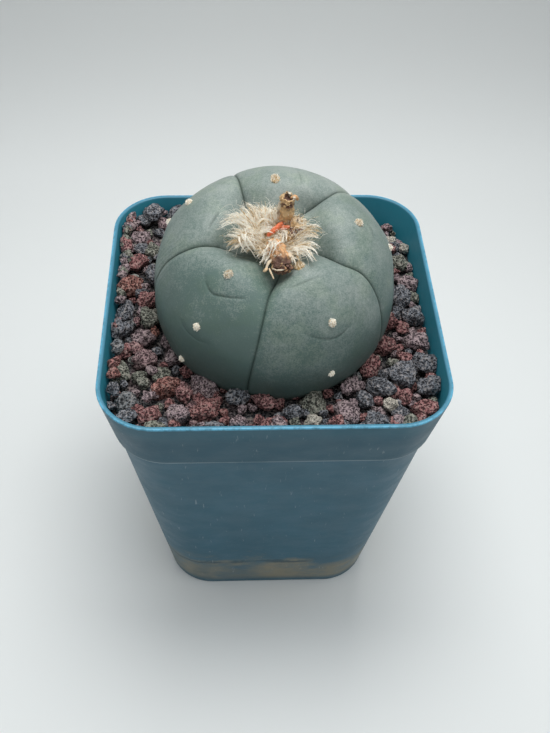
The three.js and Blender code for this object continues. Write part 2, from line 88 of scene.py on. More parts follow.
# Azimuth of each furrow at polar angles 0, 15, 30 ... 90 from the crown.
FURROWS = [
    [66, 51, 44.5, 44, 42, 40.5, 40],
    [146, 127, 119.5, 114.5, 113, 113, 113],
    [225, 192, 187.5, 186.5, 185.3, 184.8, 184.5],
    [286, 268, 262.5, 260.5, 259, 257.3, 256],
    [350, 340, 333, 334.5, 333, 331, 330],
]
FURROW_DEEPEST = 4
FURROW_DEEPEST_AT = 18
FURROW_SHALLOW = 0.3
FURROW_NARROW = 1.2
FURROW_WIDE = 3.2
FURROW_WIDTH_FADE = 45
FURROW_LINE_DEPTH = 0.45
FURROW_LINE_WIDTH = 0.35

# How much more or less bloom each rib is painted with, partly for the wax that it has kept and
# partly as painted light and shade.
RIB_BLOOM_AND_SHADE = (-0.03, -0.04, -0.2, 0.1, -0.12)

# Areoles on the ribs as rib, polar angle and share across the rib, with the tuft's length and tone.
AREOLES = [
    (0, 26, 0.59, 1.5, 0.7),
    (1, 47.5, 0.5, 1.15, 0.25),
    (1, 70, 0.56, 1.1, 0.05),
    (2, 29, 0.53, 1.4, 0.35),
    (2, 61.3, 0.57, 1.15, 0.1),
    (2, 88.3, 0.52, 1, 0.05),
    (3, 17, 0.43, 1.7, 1.1),
    (3, 51, 0.52, 1.25, 0.1),
    (3, 80.5, 0.51, 1.05, 0.05),
    (4, 35.5, 0.5, 1.3, 0.6),
    (4, 63.8, 0.48, 1.05, 0.05),
]
AREOLE_RISE = 0.55
AREOLE_SPREAD = 5.5

# The hairs of each tuft, coarser than in life so that they show.
AREOLE_HAIRS = 240
AREOLE_HAIR_RADIUS = 0.11

# Shallow folds in the skin, each with its depth and the azimuths and polar angles along it. The angles
# are of points on the photo, carried onto the body by the camera, in whole degrees.
CREASES = [
    (0.26, [(214, 38), (221, 41), (226, 42), (233, 40), (240, 38), (247, 36)]),
    (0.15, [(274, 26), (281, 27), (289, 27), (298, 27), (307, 28)]),
    (0.24, [(283, 52), (287, 55), (292, 58), (297, 60), (303, 60), (309, 57)]),
    (0.14, [(215, 64), (218, 67), (222, 69), (229, 69), (236, 67)]),
    (0.16, [(75, 42), (70, 33), (66, 27)]),
    (0.14, [(38, 15), (28, 15), (18, 15)]),
    (0.14, [(12, 44), (7, 46), (1, 46)]),
    (0.2, [(156, 25), (165, 26), (175, 28)]),
    (0.12, [(284, 76), (288, 81), (294, 85)]),
]
CREASE_WIDTH = 0.34

# Rings from the widest ring to the crown, and points across a rib.
DOME_RINGS = 214
RIB_STEPS = 72

# How the crushed lava lies: its level, its slopes, and the rule that the stones are thrown by.
SOIL_TOP = 84
STONE_MIDDLE = 91.9
HEIGHT_SPREAD = 0.9
BACK_RIGHT_DIP = 3.6
BACK_LEFT_RISE = 3.4
STONE_PACKING = 0.95
STONE_TRIES = 9000
DARK_SHARE = 0.42
TOP_BELOW_RIM = 0.4
PALE_RADIUS = 2.1
PALE_SPOTS = [(40.5, 28.5), (36.8, 32.4), (9, -38), (29, -33)]

# Rings and sides of a stone, by its kind.
STONE_GRID = (24, 40)
CHIP_GRID = (12, 20)
PUMICE_GRID = (22, 38)

# The chips keep inside a square with round corners: how far inside the rim it lies, half of its
# straight sides and the radius of its corners. Two chips, and a chip and a stone, come as close as
# a share of their radii together.
CHIP_INSET = 2.6
CHIP_CORE = 30
CHIP_CORNER = 11.5
CHIP_PACKING = 0.82
CHIP_UNDER_STONE = 0.62

# The sheet of grit under the stones: how far below their middles it lies, the radius where it meets
# the plant, its distance from the wall, and its rings.
GRIT_BELOW = 2.6
GRIT_INNER = 20
GRIT_CLEAR = 0.3
GRIT_RINGS = 26

# A stone is an icosahedron with a few more broken faces. It is grown a little to make up for the
# rounding of its edges, which are sharper the higher the power is, and it stays clear of the wall.
BROKEN_FACES = 4
STONE_GROWN = 1.1
STONE_CLEAR = 0.25
STONE_EDGE = 36

# The order that the icosahedron's corners are taken in, and its faces as places in that order.
STONE_CORNER_ORDER = [0, 11, 5, 1, 7, 10, 9, 4, 2, 6, 8, 3]
STONE_FACES = np.array(
    [
        (0, 1, 2), (0, 2, 3), (0, 3, 4), (0, 4, 5), (0, 5, 1), (3, 2, 6), (2, 1, 7), (1, 5, 8), (5, 4, 9),
        (4, 3, 10), (11, 6, 7), (11, 7, 8), (11, 8, 9), (11, 9, 10), (11, 10, 6), (7, 6, 2), (8, 7, 1),
        (9, 8, 5), (10, 9, 4), (6, 10, 3),
    ]
)

# The cushion and locks of wool in the crown, in the plant's frame.
WOOL_THICKNESS = 3.2
WOOL_CLEAR = 0.3
WOOL_INNERMOST = 1.5
WOOL_OUTERMOST = 7
WOOL_REACH = 12
WOOL_REACH_SWING = 4
WOOL_SWING_AZIMUTH = 195
SHORT_LOCKS = 110
LOCK_HAIRS = 20
WISPS = 26
GOLDEN_TURN = 137.508

# The sheaves that the wool is combed into, with the number of strands in one. Each row has the
# azimuth and polar angle where it starts and where it ends, its sideways bend, its height over the
# dome half way and at the tip, and its tone from white to tan. The angles of the main sheaves began
# as points on the photo too.
STRANDS = 9
SHEAVES = [
    (170, 3, 179, 22, -1.2, 4.5, 3, -0.1),
    (172, 3, 172, 19, 0.8, 4.8, 3.5, -0.1),
    (167, 4, 157, 15, 1, 5, 4.5, 0),
    (152, 6, 145, 15, -0.4, 4, 3, 0.45),
    (160, 5, 163, 12, 0.4, 3.5, 2.5, 0.7),
    (144, 5, 137, 11.5, -0.4, 4, 3.2, 0.25),
    (134, 5, 126, 12, -0.5, 4, 2.8, 0.1),
    (124, 5, 118, 11, -0.3, 4, 2.8, 0.05),
    (115, 5, 109, 10.5, -0.3, 3.8, 2.8, 0.15),
    (106, 5, 100, 10, 0.2, 3.8, 2.8, 0.05),
    (95, 5, 92, 9.5, 0.3, 3.8, 2.8, 0.1),
    (188, 4, 194, 18, 1.4, 4, 3, 0.2),
    (198, 4, 200, 21, 0.6, 3.4, 3, 0.45),
    (207, 5, 207, 20, -0.6, 3.4, 3, 0.55),
    (214, 5, 209, 21, -1, 3, 2, 0.3),
    (220, 5, 217, 16, -1, 2.4, 1.6, 0.15),
    (174, 10, 228, 12, -1.6, 4.6, 2.6, -0.15),
    (178, 8, 221, 10, -1.2, 4.4, 3, -0.1),
    (223, 4, 241, 12, 0.5, 2.4, 1.8, 0.1),
    (236, 4, 250, 16, 0.6, 3, 2.4, 0),
    (322, 2, 351, 15, 1.4, 3.4, 3, 0.35),
    (305, 3, 341, 15.5, 1.6, 3.4, 3, 0.35),
    (339, 2, 359, 12.5, 0.8, 3.4, 3, 0.4),
    (334, 6, 16, 10, 1.2, 3, 2, 0.3),
    (299, 6, 313, 20, 0.8, 3, 2, 0.05),
    (310, 6, 326, 17, 0.6, 3, 2, 0.1),
    (289, 7, 300, 16, 0.6, 2.2, 1.6, 0.25),
    (292, 4, 290, 15, 0.5, 2.2, 1.5, 0.3),
    (179, 7, 100, 2, 1.2, 4.6, 5, -0.2),
    (130, 2, 297, 4, 1.6, 4.6, 4.2, -0.2),
    (228, 3, 258, 14, 0.6, 6.6, 5.6, -0.1),
    (84, 5, 80, 9.5, 0.2, 3.6, 2.6, 0.15),
    (70, 5, 64, 9.5, -0.2, 3.6, 2.6, 0.3),
    (52, 5, 48, 10, 0.3, 3.4, 2.6, 0.2),
    (34, 5, 32, 10.5, -0.3, 3.2, 2.6, 0.35),
    (262, 7, 268, 12, 0.4, 2, 1.4, 0.2),
    (276, 8, 280, 13, -0.3, 2, 1.4, 0.1),
]

# Fixed colours: scratches and scuffs on the plastic, the rock's ridges, painted paler as dust and as a
# painted highlight, the painted shade in its open pores, pale flecks on dried tissue, and the sheen of
# the wool and its glow where it is young and old.
SCRATCH_TONE = "bcc4c5"
SCUFF_TONE = "a2b1b6"
DUSTY_HIGHLIGHT_TONE = "bcafa6"
PORE_SHADE_TONE = "1d1919"
FLECK_TONE = "cbbca6"
SHEEN_TONE = "fff7e5"
YOUNG_GLOW = "fffaec"
OLD_GLOW = "615538"

# What greener skin multiplies red, green and blue by.
GREENER = (0.98, 1.03, 0.86, 1)

# The way from the body's middle to the side that the light comes from: the skin is painted with more
# bloom on that side, as painted light.
PAINTED_LIGHT_SIDE = (0.1, 0.5, 0.86)

# Height of the dark line that water has left on the pot, and how far it sways up and down.
TIDE_LINE = 16.5
TIDE_SWAY = 1.2

# The camera as worked out from the photograph.
CAMERA_PLACE = (-10.255, -180.042, 272.929)
CAMERA_AZIMUTH = -3.776
CAMERA_ELEVATION = 48.423
CAMERA_ROLL = 2.231
FOCAL_PIXELS = 931.49
FRAME_HEIGHT = 733
SENSOR = 36

# The backdrop card: how far it lies flat behind the pot, the radius of its sweep, the height of its
# wall and half its width.
FLOOR_FLAT = 150
FLOOR_SWEEP = 125
FLOOR_WALL = 700
FLOOR_HALF = 900

# The key light: its place, what it is aimed at, its side, its tint and the angle of its beam. The
# even light has a tint too, and is brighter on one side.
KEY_PLACE = (8, 65, 430)
KEY_AIM = (0, 20, 60)
KEY_SIDE = 220
KEY_TINT = "fffefc"
LIGHT_SPREAD = 100
ROOM_TINT = "fafdfe"
BRIGHT_SIDE = (0.33, 0.38, 0.864)


def linear(code):
    """An sRGB hex colour as linear red, green and blue."""
    values = [int(code[i : i + 2], 16) / 255 for i in (0, 2, 4)]
    return [v / 12.92 if v <= 0.04045 else ((v + 0.055) / 1.055) ** 2.4 for v in values]


def length(name, millimetres, description):
    """A size that the user may change, kept in metres."""
    return bpy.props.FloatProperty(
        name=name, description=description, default=millimetres * MM, min=0, precision=4, unit="LENGTH"
    )


def colour(name, code, description):
    """A colour that the user may change, given as an sRGB hex value."""
    return bpy.props.FloatVectorProperty(
        name=name, description=description, default=linear(code), size=3, min=0, max=1, subtype="COLOR"
    )


class PotSettings(bpy.types.PropertyGroup):
    rim_side: length("Rim side", 89, "Width of the pot across its rim")
    height: length("Height", 97.4, "Height of the pot")
    foot_side: length("Foot side", 63, "Width of the pot at its foot")
    band_height: length("Band height", 17, "Height of the stepped band under the rim")
    wall: length("Wall", 1.2, "Thickness of the moulded wall")
    outer: colour("Plastic", "295a6d", "Outside of the pot")
    inner: colour("Inside", "2d8397", "Inside of the pot, where light comes through the wall")
    edge: colour("Rim edge", "67b8da", "The thin rim edge, where light comes through")
    stain: colour("Mineral stain", "8c846e", "Hard-water stain above the foot")


class PlantSettings(bpy.types.PropertyGroup):
    radius: length("Radius", 31.6, "Radius of the body at its widest ring")
    dome_height: length("Dome height", 29.7, "Height of the dome over its widest ring, without the dip")
    crown_dip: length("Crown dip", 10, "Depth of the woolly dip in the crown")
    above_rim: length("Above rim", 2.8, "Height of the widest ring over the pot's rim")
    lean: bpy.props.FloatProperty(
        name="Lean",
        description="Lean of the axis towards the viewer",
        default=math.radians(12),
        subtype="ANGLE",
    )
    skin: colour("Skin", "5a6f6a", "Grey-green skin")
    bloom: colour("Bloom", "a0a8a3", "Waxy bluish bloom over the skin")
    # The crease colour is painted shade in the furrows and folds.
    crease_shade: colour("Crease", "2d4038", "Skin in the furrows and folds")


class WoolSettings(bpy.types.PropertyGroup):
    hairs: bpy.props.IntProperty(
        name="Hairs in a sheaf", description="Hairs drawn in each sheaf", default=72, min=STRANDS
    )
    hair_radius: length("Hair radius", 0.09, "Radius of a hair's root, coarser than in life so that it shows")
    cream: colour("Cream wool", "fffcf2", "Young wool")
    tan: colour("Tan wool", "cfad72", "Old wool")


class DriedSettings(bpy.types.PropertyGroup):
    husk: colour("Husk", "d2b184", "Dry fruit wall")
    papery: colour("Papery skin", "d9cdb8", "Pale dry membrane and petals")
    brown: colour("Withered petals", "6c4f44", "Dark withered petals")
    rust: colour("Rust", "dba878", "Orange-brown withered tube")
    ripe: colour("Ripe fruit", "d2724c", "Ripe fruit skin")


class GravelSettings(bpy.types.PropertyGroup):
    largest: length("Largest stone", 3.9, "Radius of the largest stones")
    smallest: length("Smallest stone", 2, "Radius of the smallest stones")
    charcoal: colour("Charcoal", "8d929c", "Dark lava")
    olive: colour("Olive grey", "a0a497", "Weathered dark lava")
    maroon: colour("Red-brown", "b87e7e", "Red lava")
    mauve: colour("Mauve-brown", "bea7ad", "Weathered red lava")
    orange: colour("Orange-red", "cf8d72", "Fresh oxidised lava")
    pumice: colour("Pumice", "d9d3c6", "Pale stones")
    soil: colour("Potting mix", "33291f", "Mix under the stones")


class StudioSettings(bpy.types.PropertyGroup):
    floor: colour("Floor", "ebeeee", "Plain pale floor")
    key: bpy.props.FloatProperty(
        name="Key light", description="Soft light above the plant", default=0.32, min=0, unit="POWER"
    )
    fill: bpy.props.FloatProperty(
        name="Fill", description="Strength of the even light from all round", default=0.4, min=0
    )
    over: bpy.props.FloatProperty(
        name="Overhead", description="Added strength from above and behind on the right", default=0.68, min=0
    )


# Arrays and noise


def draws(seed):
    """An endless row of seeded numbers from 0 to 1, by the same rule as the CAD source."""
    state = seed
    while True:
        state = (state * 1664525 + 1013904223) & 0xFFFFFFFF
        yield state / 4294967296


def lerp(start, end, share):
    """The value at a share of the way from start to end."""
    return start + (end - start) * share


def spline(knots, share):
    """A uniform Catmull-Rom curve through the knots, at shares from 0 to 1 of its length in knots."""
    knots = np.asarray(knots, float)
    last = len(knots) - 1
    along = np.clip(share, 0, 1) * last
    number = np.minimum(np.floor(along).astype(int), last - 1)
    part = (along - number).reshape(np.shape(along) + (1,) * (knots.ndim - 1))
    before, here = knots[np.maximum(number - 1, 0)], knots[number]
    ahead, beyond = knots[number + 1], knots[np.minimum(number + 2, last)]
    entry, exit_ = (ahead - before) / 2, (beyond - here) / 2
    cubic = 2 * here - 2 * ahead + entry + exit_
    square = 3 * ahead - 3 * here - 2 * entry - exit_
    return ((cubic * part + square) * part + entry) * part + here


def scatter(cells, seed):
    """A fixed number from 0 to 1 for each cell of whole coordinates: the coordinates are mixed by
    large odd factors and shifts."""
    x, y, z = (cells[..., i].astype(np.int64) for i in range(3))
    mixed = (x * 374761393 + y * 668265263 + z * 1274126177 + seed * 974634777) & 0xFFFFFFFF
    mixed = ((mixed ^ (mixed >> 13)) * 1103515245 + 12345) & 0xFFFFFFFF
    mixed = ((mixed ^ (mixed >> 15)) * 2246822519) & 0xFFFFFFFF
    return (mixed ^ (mixed >> 14)) / 4294967296


def noise(points, size, seed):
    """A smooth random field from -1 to 1 with lumps of a size: values at the corners of cells, blended
    by the smooth step of the place in the cell."""
    scaled = points / size
    cell = np.floor(scaled)
    part = scaled - cell
    blend = part * part * (3 - 2 * part)
    total = 0
    for corner in itertools.product((0, 1), repeat=3):
        weight = np.prod(np.where(corner, blend, 1 - blend), axis=-1)
        total = total + weight * scatter(cell + corner, seed)
    return 2 * total - 1


def pits(points, size, seed):
    """Round hollows of a size: 1 in the middle of each, falling to 0 at half the way to its neighbours.
    Each cell holds one middle, and a point takes the nearest among its own and the next cells."""
    scaled = points / size
    cell = np.floor(scaled)
    nearest = np.full(scaled.shape[:-1], 9.0)
    for step in itertools.product((-1, 0, 1), repeat=3):
        near = cell + step
        middle = near + np.stack([scatter(near, seed + i) for i in range(3)], -1)
        nearest = np.minimum(nearest, np.sum((scaled - middle) ** 2, axis=-1))
    return np.clip(1 - np.sqrt(nearest) / 0.55, 0, 1)


def unit(vectors):
    """Vectors brought to a length of one."""
    return vectors / np.maximum(np.linalg.norm(vectors, axis=-1, keepdims=True), 1e-9)


# Skins and pieces


def around(sides):
    """Angles of a ring's corners."""
    return 2 * np.pi * np.arange(sides) / sides


def ball_rays(rings, sides, inset):
    """Rays (rings, sides, 3) from a ball's middle to rings at even polar angles. The first and the last
    ring lie an inset's share of a step from the poles."""
    polar = np.pi * (np.arange(rings) + inset) / (rings + 2 * inset - 1)
    turn = around(sides)
    wide = np.sin(polar)[:, None]
    return np.stack([wide * np.cos(turn), wide * np.sin(turn), -np.cos(polar)[:, None] + 0 * turn], -1)


def on_axis(level):
    """The end of one body, on the axis at a level."""
    return np.array([[0, 0, level]], float)


def with_ends(values, start=0, end=0):
    """Values over a grid, with those of its two end points added."""
    return np.concatenate([[start], np.ravel(values), [end]])


def layered_noise(points, *rows):
    """Noise of several sizes put together. Each row is a weight, a size and a seed."""
    return sum(weight * noise(points, size, seed) for weight, size, seed in rows)


def skin(grids, starts, ends):
    """Closed skins over grids of points (bodies, rings, sides, 3), each ring anticlockwise seen from
    its far end. Four-sided faces run between the rings, and a fan to one point closes each end."""
    bodies, rings, sides = grids.shape[:3]
    count = rings * sides + 2
    points = np.concatenate([starts[:, None], grids.reshape(bodies, -1, 3), ends[:, None]], 1)
    side = np.arange(sides)
    after = (side + 1) % sides
    ring = 1 + np.arange(rings - 1)[:, None] * sides
    quads = np.stack([ring + side, ring + after, ring + sides + after, ring + sides + side], -1)
    first = np.stack([0 * side, 1 + after, 1 + side], -1)
    last = 1 + (rings - 1) * sides
    final = np.stack([0 * side + count - 1, last + side, last + after], -1)
    offsets = (np.arange(bodies) * count)[:, None, None]
    quads = (quads.reshape(-1, 4) + offsets).reshape(-1, 4)
    triangles = (np.concatenate([first, final]) + offsets).reshape(-1, 3)
    return {"points": points.reshape(-1, 3), "quads": quads, "triangles": triangles, "each": count}


def tubes(paths, radii, sides, rough=None, axes=None):
    """Tubes along paths (bodies, rings, 3) with a radius at each ring. A ring's points go round in the
    plane across the path, or across the given axes. rough(points) adds to each point's radius."""
    along = unit(np.gradient(paths, axis=1)) if axes is None else axes
    across = unit(np.cross(np.array([0.31, 0.94, 0.12]), along))
    over = np.cross(along, across)
    turn = around(sides)
    ray = across[:, :, None] * np.cos(turn)[:, None] + over[:, :, None] * np.sin(turn)[:, None]
    reach = radii[:, :, None, None] + np.zeros((sides, 1))
    grids = paths[:, :, None] + ray * reach
    if rough is not None:
        grids = paths[:, :, None] + ray * np.maximum(reach + rough(grids)[..., None], 0.1 * reach)
    starts = paths[:, 0] - along[:, 0] * radii[:, :1] * 0.5
    ends = paths[:, -1] + along[:, -1] * radii[:, -1:] * 0.5
    return skin(grids, starts, ends)


def spread(values, each):
    """One value for each body, given to all its points."""
    return np.repeat(np.asarray(values, float), each)


def gather(shapes):
    """Several shapes as one, with their values kept."""
    points, quads, triangles, total = [], [], [], 0
    for shape in shapes:
        points.append(shape["points"])
        quads.append(shape["quads"] + total)
        triangles.append(shape["triangles"] + total)
        total += len(shape["points"])
    keys = shapes[0].get("values", {})
    return {
        "points": np.concatenate(points),
        "quads": np.concatenate(quads),
        "triangles": np.concatenate(triangles),
        "values": {key: np.concatenate([shape["values"][key] for shape in shapes]) for key in keys},
    }


def make_piece(name, shape, material, nodes=()):
    """Puts a shape into a mesh, with its values as point attributes, and lets it ride on the frame."""
    mesh = bpy.data.meshes.new(name)
    points, quads, triangles = shape["points"], shape["quads"], shape["triangles"]
    mesh.vertices.add(len(points))
    mesh.vertices.foreach_set("co", (points * MM).astype(np.float32).ravel())
    mesh.loops.add(quads.size + triangles.size)
    corners = np.concatenate([quads.ravel(), triangles.ravel()])
    mesh.loops.foreach_set("vertex_index", corners.astype(np.int32))
    mesh.polygons.add(len(quads) + len(triangles))
    starts = np.concatenate([np.arange(len(quads)) * 4, quads.size + np.arange(len(triangles)) * 3])
    mesh.polygons.foreach_set("loop_start", starts.astype(np.int32))
    mesh.update(calc_edges=True)
    mesh.shade_smooth()
    for key, values in shape.get("values", {}).items():
        attribute = mesh.attributes.new(key, "FLOAT", "POINT")
        attribute.data.foreach_set("value", np.asarray(values, np.float32))
    mesh.materials.append(material)
    piece = bpy.data.objects.new(name, mesh)
    bpy.context.scene.collection.objects.link(piece)
    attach(piece, "root")
    if nodes:
        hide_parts(*nodes)
    return piece


# Materials


def feed(tree, node, inputs):
    """Gives a node its inputs: each is a plain value, or another node's output to link."""
    for key, value in inputs.items():
        if isinstance(value, bpy.types.NodeSocket):
            tree.links.new(value, node.inputs[key])
        else:
            node.inputs[key].default_value = value


def add_node(tree, kind, inputs, output=0, **settings):
    """Adds a node with its inputs and settings, and returns one of its outputs."""
    made = tree.nodes.new("ShaderNode" + kind)
    for key, value in settings.items():
        setattr(made, key, value)
    feed(tree, made, inputs)
    return made.outputs[output]


def rgba(values, factor=1.0):
    """A colour made darker or lighter by a factor, with full cover."""
    return (*(factor * value for value in values), 1)


def per_mm(size):
    """Pattern scale, in an object measured in metres, that makes one feature this many mm wide."""
    return 1 / (size * MM)


def cloudy(place, size, detail, roughness):
    """What a noise texture takes in for lumps of a size in mm."""
    return {"Vector": place, "Scale": per_mm(size), "Detail": detail, "Roughness": roughness}


def combine(tree, *ramps, by="MULTIPLY"):
    """Values put together one after another by a sum, a product or the like. A ramp is a value, or a
    row of a value, the two ends that it is read between, and what it gives there if not 0 and 1. It
    runs smoothly between its ends and is held past them."""
    total = None
    for ramp in ramps:
        if isinstance(ramp, tuple):
            ramp = add_node(tree, "MapRange", dict(enumerate(ramp)), interpolation_type="SMOOTHSTEP")
        total = ramp if total is None else add_node(tree, "Math", {0: total, 1: ramp}, operation=by)
    return total


def paint(tree, base, *layers):
    """Colours laid over a base one after another. Each layer is a colour and the ramps whose product
    says how much it covers."""
    for tone, *ramps in layers:
        inputs = {0: combine(tree, *ramps), 6: base, 7: tone}
        base = add_node(tree, "Mix", inputs, 2, data_type="RGBA")
    return base


def by_tone(tree, tones, soft):
    """A colour by the tone attribute: the first at 0, the next at 1 and so on, with a soft change half
    way between."""
    tone = add_node(tree, "Attribute", {}, "Fac", attribute_name="tone")
    layers = [
        (rgba(following), (tone, number + 0.5 - soft, number + 0.5 + soft))
        for number, following in enumerate(tones[1:])
    ]
    return paint(tree, rgba(tones[0]), *layers)


def start_material(name):
    """A material with a plain shader. Returns the material, its tree, the shader and the place."""
    material = bpy.data.materials.new(name)
    material.use_nodes = True
    tree = material.node_tree
    tree.nodes.clear()
    shader = tree.nodes.new("ShaderNodeBsdfPrincipled")
    end = tree.nodes.new("ShaderNodeOutputMaterial")
    tree.links.new(shader.outputs["BSDF"], end.inputs["Surface"])
    return material, tree, shader, add_node(tree, "TexCoord", {}, "Object")


def finish(tree, shader, relief, depth, inputs):
    """Gives the shader its inputs, and relief of a depth in mm."""
    bump = {"Height": relief, "Distance": depth * MM, "Strength": 1}
    feed(tree, shader, {**inputs, "Normal": add_node(tree, "Bump", bump)})


def polypropylene(pot):
    """Injection-moulded polypropylene: an even, slightly waxy plastic with a soft sheen. The inside, and
    the outside just under the rim, are painted a lighter teal, as painted light that comes through the
    wall, and the thin rim edge is painted lighter still, as painted light and painted glints along its
    lip. The band's lower edge is scuffed pale, hard water has left a tan haze and a dark line above the
    foot, and handling has left a few dull marks."""
    material, tree, shader, place = start_material("moulded_polypropylene")
    height = add_node(tree, "SeparateXYZ", {0: place}, "Z")
    broad = add_node(tree, "Mapping", {"Vector": place, "Scale": (0.5, 0.5, 1)})
    upright = add_node(tree, "Mapping", {"Vector": place, "Scale": (1, 1, 0.12)})
    inside = add_node(tree, "Attribute", {}, "Fac", attribute_name="inside")
    lip = add_node(tree, "Attribute", {}, "Fac", attribute_name="lip")
    cloud = add_node(tree, "TexNoise", cloudy(place, 14, 3, 0.5))
    patches = add_node(tree, "TexNoise", cloudy(broad, 5, 4, 0.62))
    smears = add_node(tree, "TexNoise", cloudy(broad, 3.2, 3, 0.6))
    streaks = add_node(tree, "TexNoise", cloudy(upright, 0.9, 2, 0.7))
    nicks = add_node(tree, "TexNoise", cloudy(place, 0.8, 3, 0.7))
    glint_specks = add_node(tree, "TexNoise", cloudy(place, 2.4, 5, 0.75))
    orange_peel = add_node(tree, "TexNoise", cloudy(place, 0.7, 3, 0.5))
    top, band = pot.height, pot.height - pot.band_height
    water = combine(tree, height, combine(tree, patches, -0.042), by="ADD")
    line_low, line_high = (-TIDE_LINE - TIDE_SWAY) * MM, (-TIDE_LINE + TIDE_SWAY) * MM
    off_line = combine(tree, height, (patches, 0.3, 0.7, line_low, line_high), by="ADD")
    off_line = add_node(tree, "Math", {0: off_line}, operation="ABSOLUTE")
    marks = combine(tree, (streaks, 0.655, 0.76, 0, 0.25), (nicks, 0.7, 0.78, 0, 0.35), by="MAXIMUM")
    thicker = (0.2 * pot.outer[0], 0.75 * pot.outer[1], 0.8 * pot.outer[2], 1)
    tone = paint(
        tree,
        rgba(pot.outer, 0.94),
        (rgba(pot.outer, 1.05), (cloud, 0.35, 0.7)),
        (thicker, (height, band - 0.0002, band + 0.0004, 0, 0.55)),
        (
            rgba(pot.stain),
            (water, -0.0158, 0.0005, 0.85, 0),
            (cloud, 0.36, 0.6, 0.5, 1),
            (height, 0.0012, 0.0048, 0.05, 1),
        ),
        (rgba(pot.outer, 0.6), (smears, 0.56, 0.72, 0, 0.25), (height, 0.014, 0.034, 1, 0)),
        (rgba(pot.outer, 0.5), (off_line, 0.0002, 0.0011, 0.75, 0), (cloud, 0.42, 0.56)),
        (rgba(linear(SCRATCH_TONE)), marks),
        (
            rgba(linear(SCUFF_TONE)),
            (height, band - 0.0009, band - 0.0002),
            (height, band + 0.0001, band + 0.0008, 1, 0),
            (cloud, 0.3, 0.6, 0.25, 0.6),
        ),
        (rgba(pot.outer, 0.3), (height, band - 0.0001, band + 0.0004, 0, 0.2)),
        # Painted light: the lighter inside colour on the whole inside and just under the rim outside, as
        # light that comes through the wall.
        (rgba(pot.inner), (height, top - 0.008, top - 0.001, 0, 0.14)),
        (rgba(pot.inner), inside),
        # Painted light on the thin rim edge, and painted glints in specks along its lip.
        (rgba(pot.edge), (height, top - 0.0006, top - 0.0001, 0, 0.3)),
        (rgba(pot.edge), lip, (height, top - 0.0007, top - 0.0003), (glint_specks, 0.36, 0.6, 0.15, 1)),
    )
    sheen = combine(tree, (patches, 0.3, 0.7, 0.42, 0.56))
    finish(tree, shader, orange_peel, 0.03, {"Base Color": tone, "Roughness": sheen, "IOR": 1.49})
    return material


def potting_mix(gravel):
    """Peat and grit: dark, damp, crumbly and quite matt."""
    material, tree, shader, place = start_material("damp_peat_and_grit")
    lumps = add_node(tree, "TexNoise", cloudy(place, 1.6, 5, 0.7))
    tone = paint(tree, rgba(gravel.soil, 0.5), (rgba(gravel.soil, 1.5), (lumps, 0.35, 0.65)))
    finish(tree, shader, lumps, 0.8, {"Base Color": tone, "Roughness": 0.95})
    return material


def crushed_lava(name, tones, pore_shade=0.85):
    """Crushed scoria: rough frothy rock, matt, with painted shade in its open bubbles and pits, and each
    stone a tone of its own from iron that has rusted more or less. tones are the colours from the first
    to the last, and the third argument says how dark the painted shade in the bubbles is. The ridges
    between them are painted paler, partly as dust and partly as a painted highlight."""
    material, tree, shader, place = start_material(name)
    pit = add_node(tree, "Attribute", {}, "Fac", attribute_name="pit")
    mottle = add_node(tree, "TexNoise", cloudy(place, 1.3, 4, 0.65))
    froth = add_node(tree, "TexNoise", cloudy(place, 0.42, 4, 0.8))
    sway = add_node(tree, "TexNoise", {"Vector": place, "Scale": per_mm(0.9), "Detail": 2}, "Color")
    swayed = add_node(tree, "VectorMath", {0: sway, 1: (0.9 * MM,) * 3, 2: place}, operation="MULTIPLY_ADD")
    bubbles = add_node(tree, "TexVoronoi", {"Vector": swayed, "Scale": per_mm(0.62)}, feature="F1")
    wall = combine(tree, (bubbles, 0.2, 0.62))
    # Painted shade in the open bubbles, the froth's hollows and the pits.
    deep = combine(tree, (wall, 0, 0.9, 1, 0), (froth, 0.34, 0.52, 0.9, 0), (pit, 0.1, 0.6), by="MAXIMUM")
    tone = paint(
        tree,
        by_tone(tree, tones, 0.15),
        # Ridges between the bubbles, painted paler: partly dust, partly a painted highlight.
        (rgba(linear(DUSTY_HIGHLIGHT_TONE)), (bubbles, 0.48, 0.72), (mottle, 0.36, 0.62, 0.1, 0.55)),
        (rgba(linear(PORE_SHADE_TONE)), deep, pore_shade),
    )
    relief = combine(tree, wall, froth, by="ADD")
    finish(tree, shader, relief, 0.55, {"Base Color": tone, "Roughness": 0.92, "Specular IOR Level": 0.25})
    return material


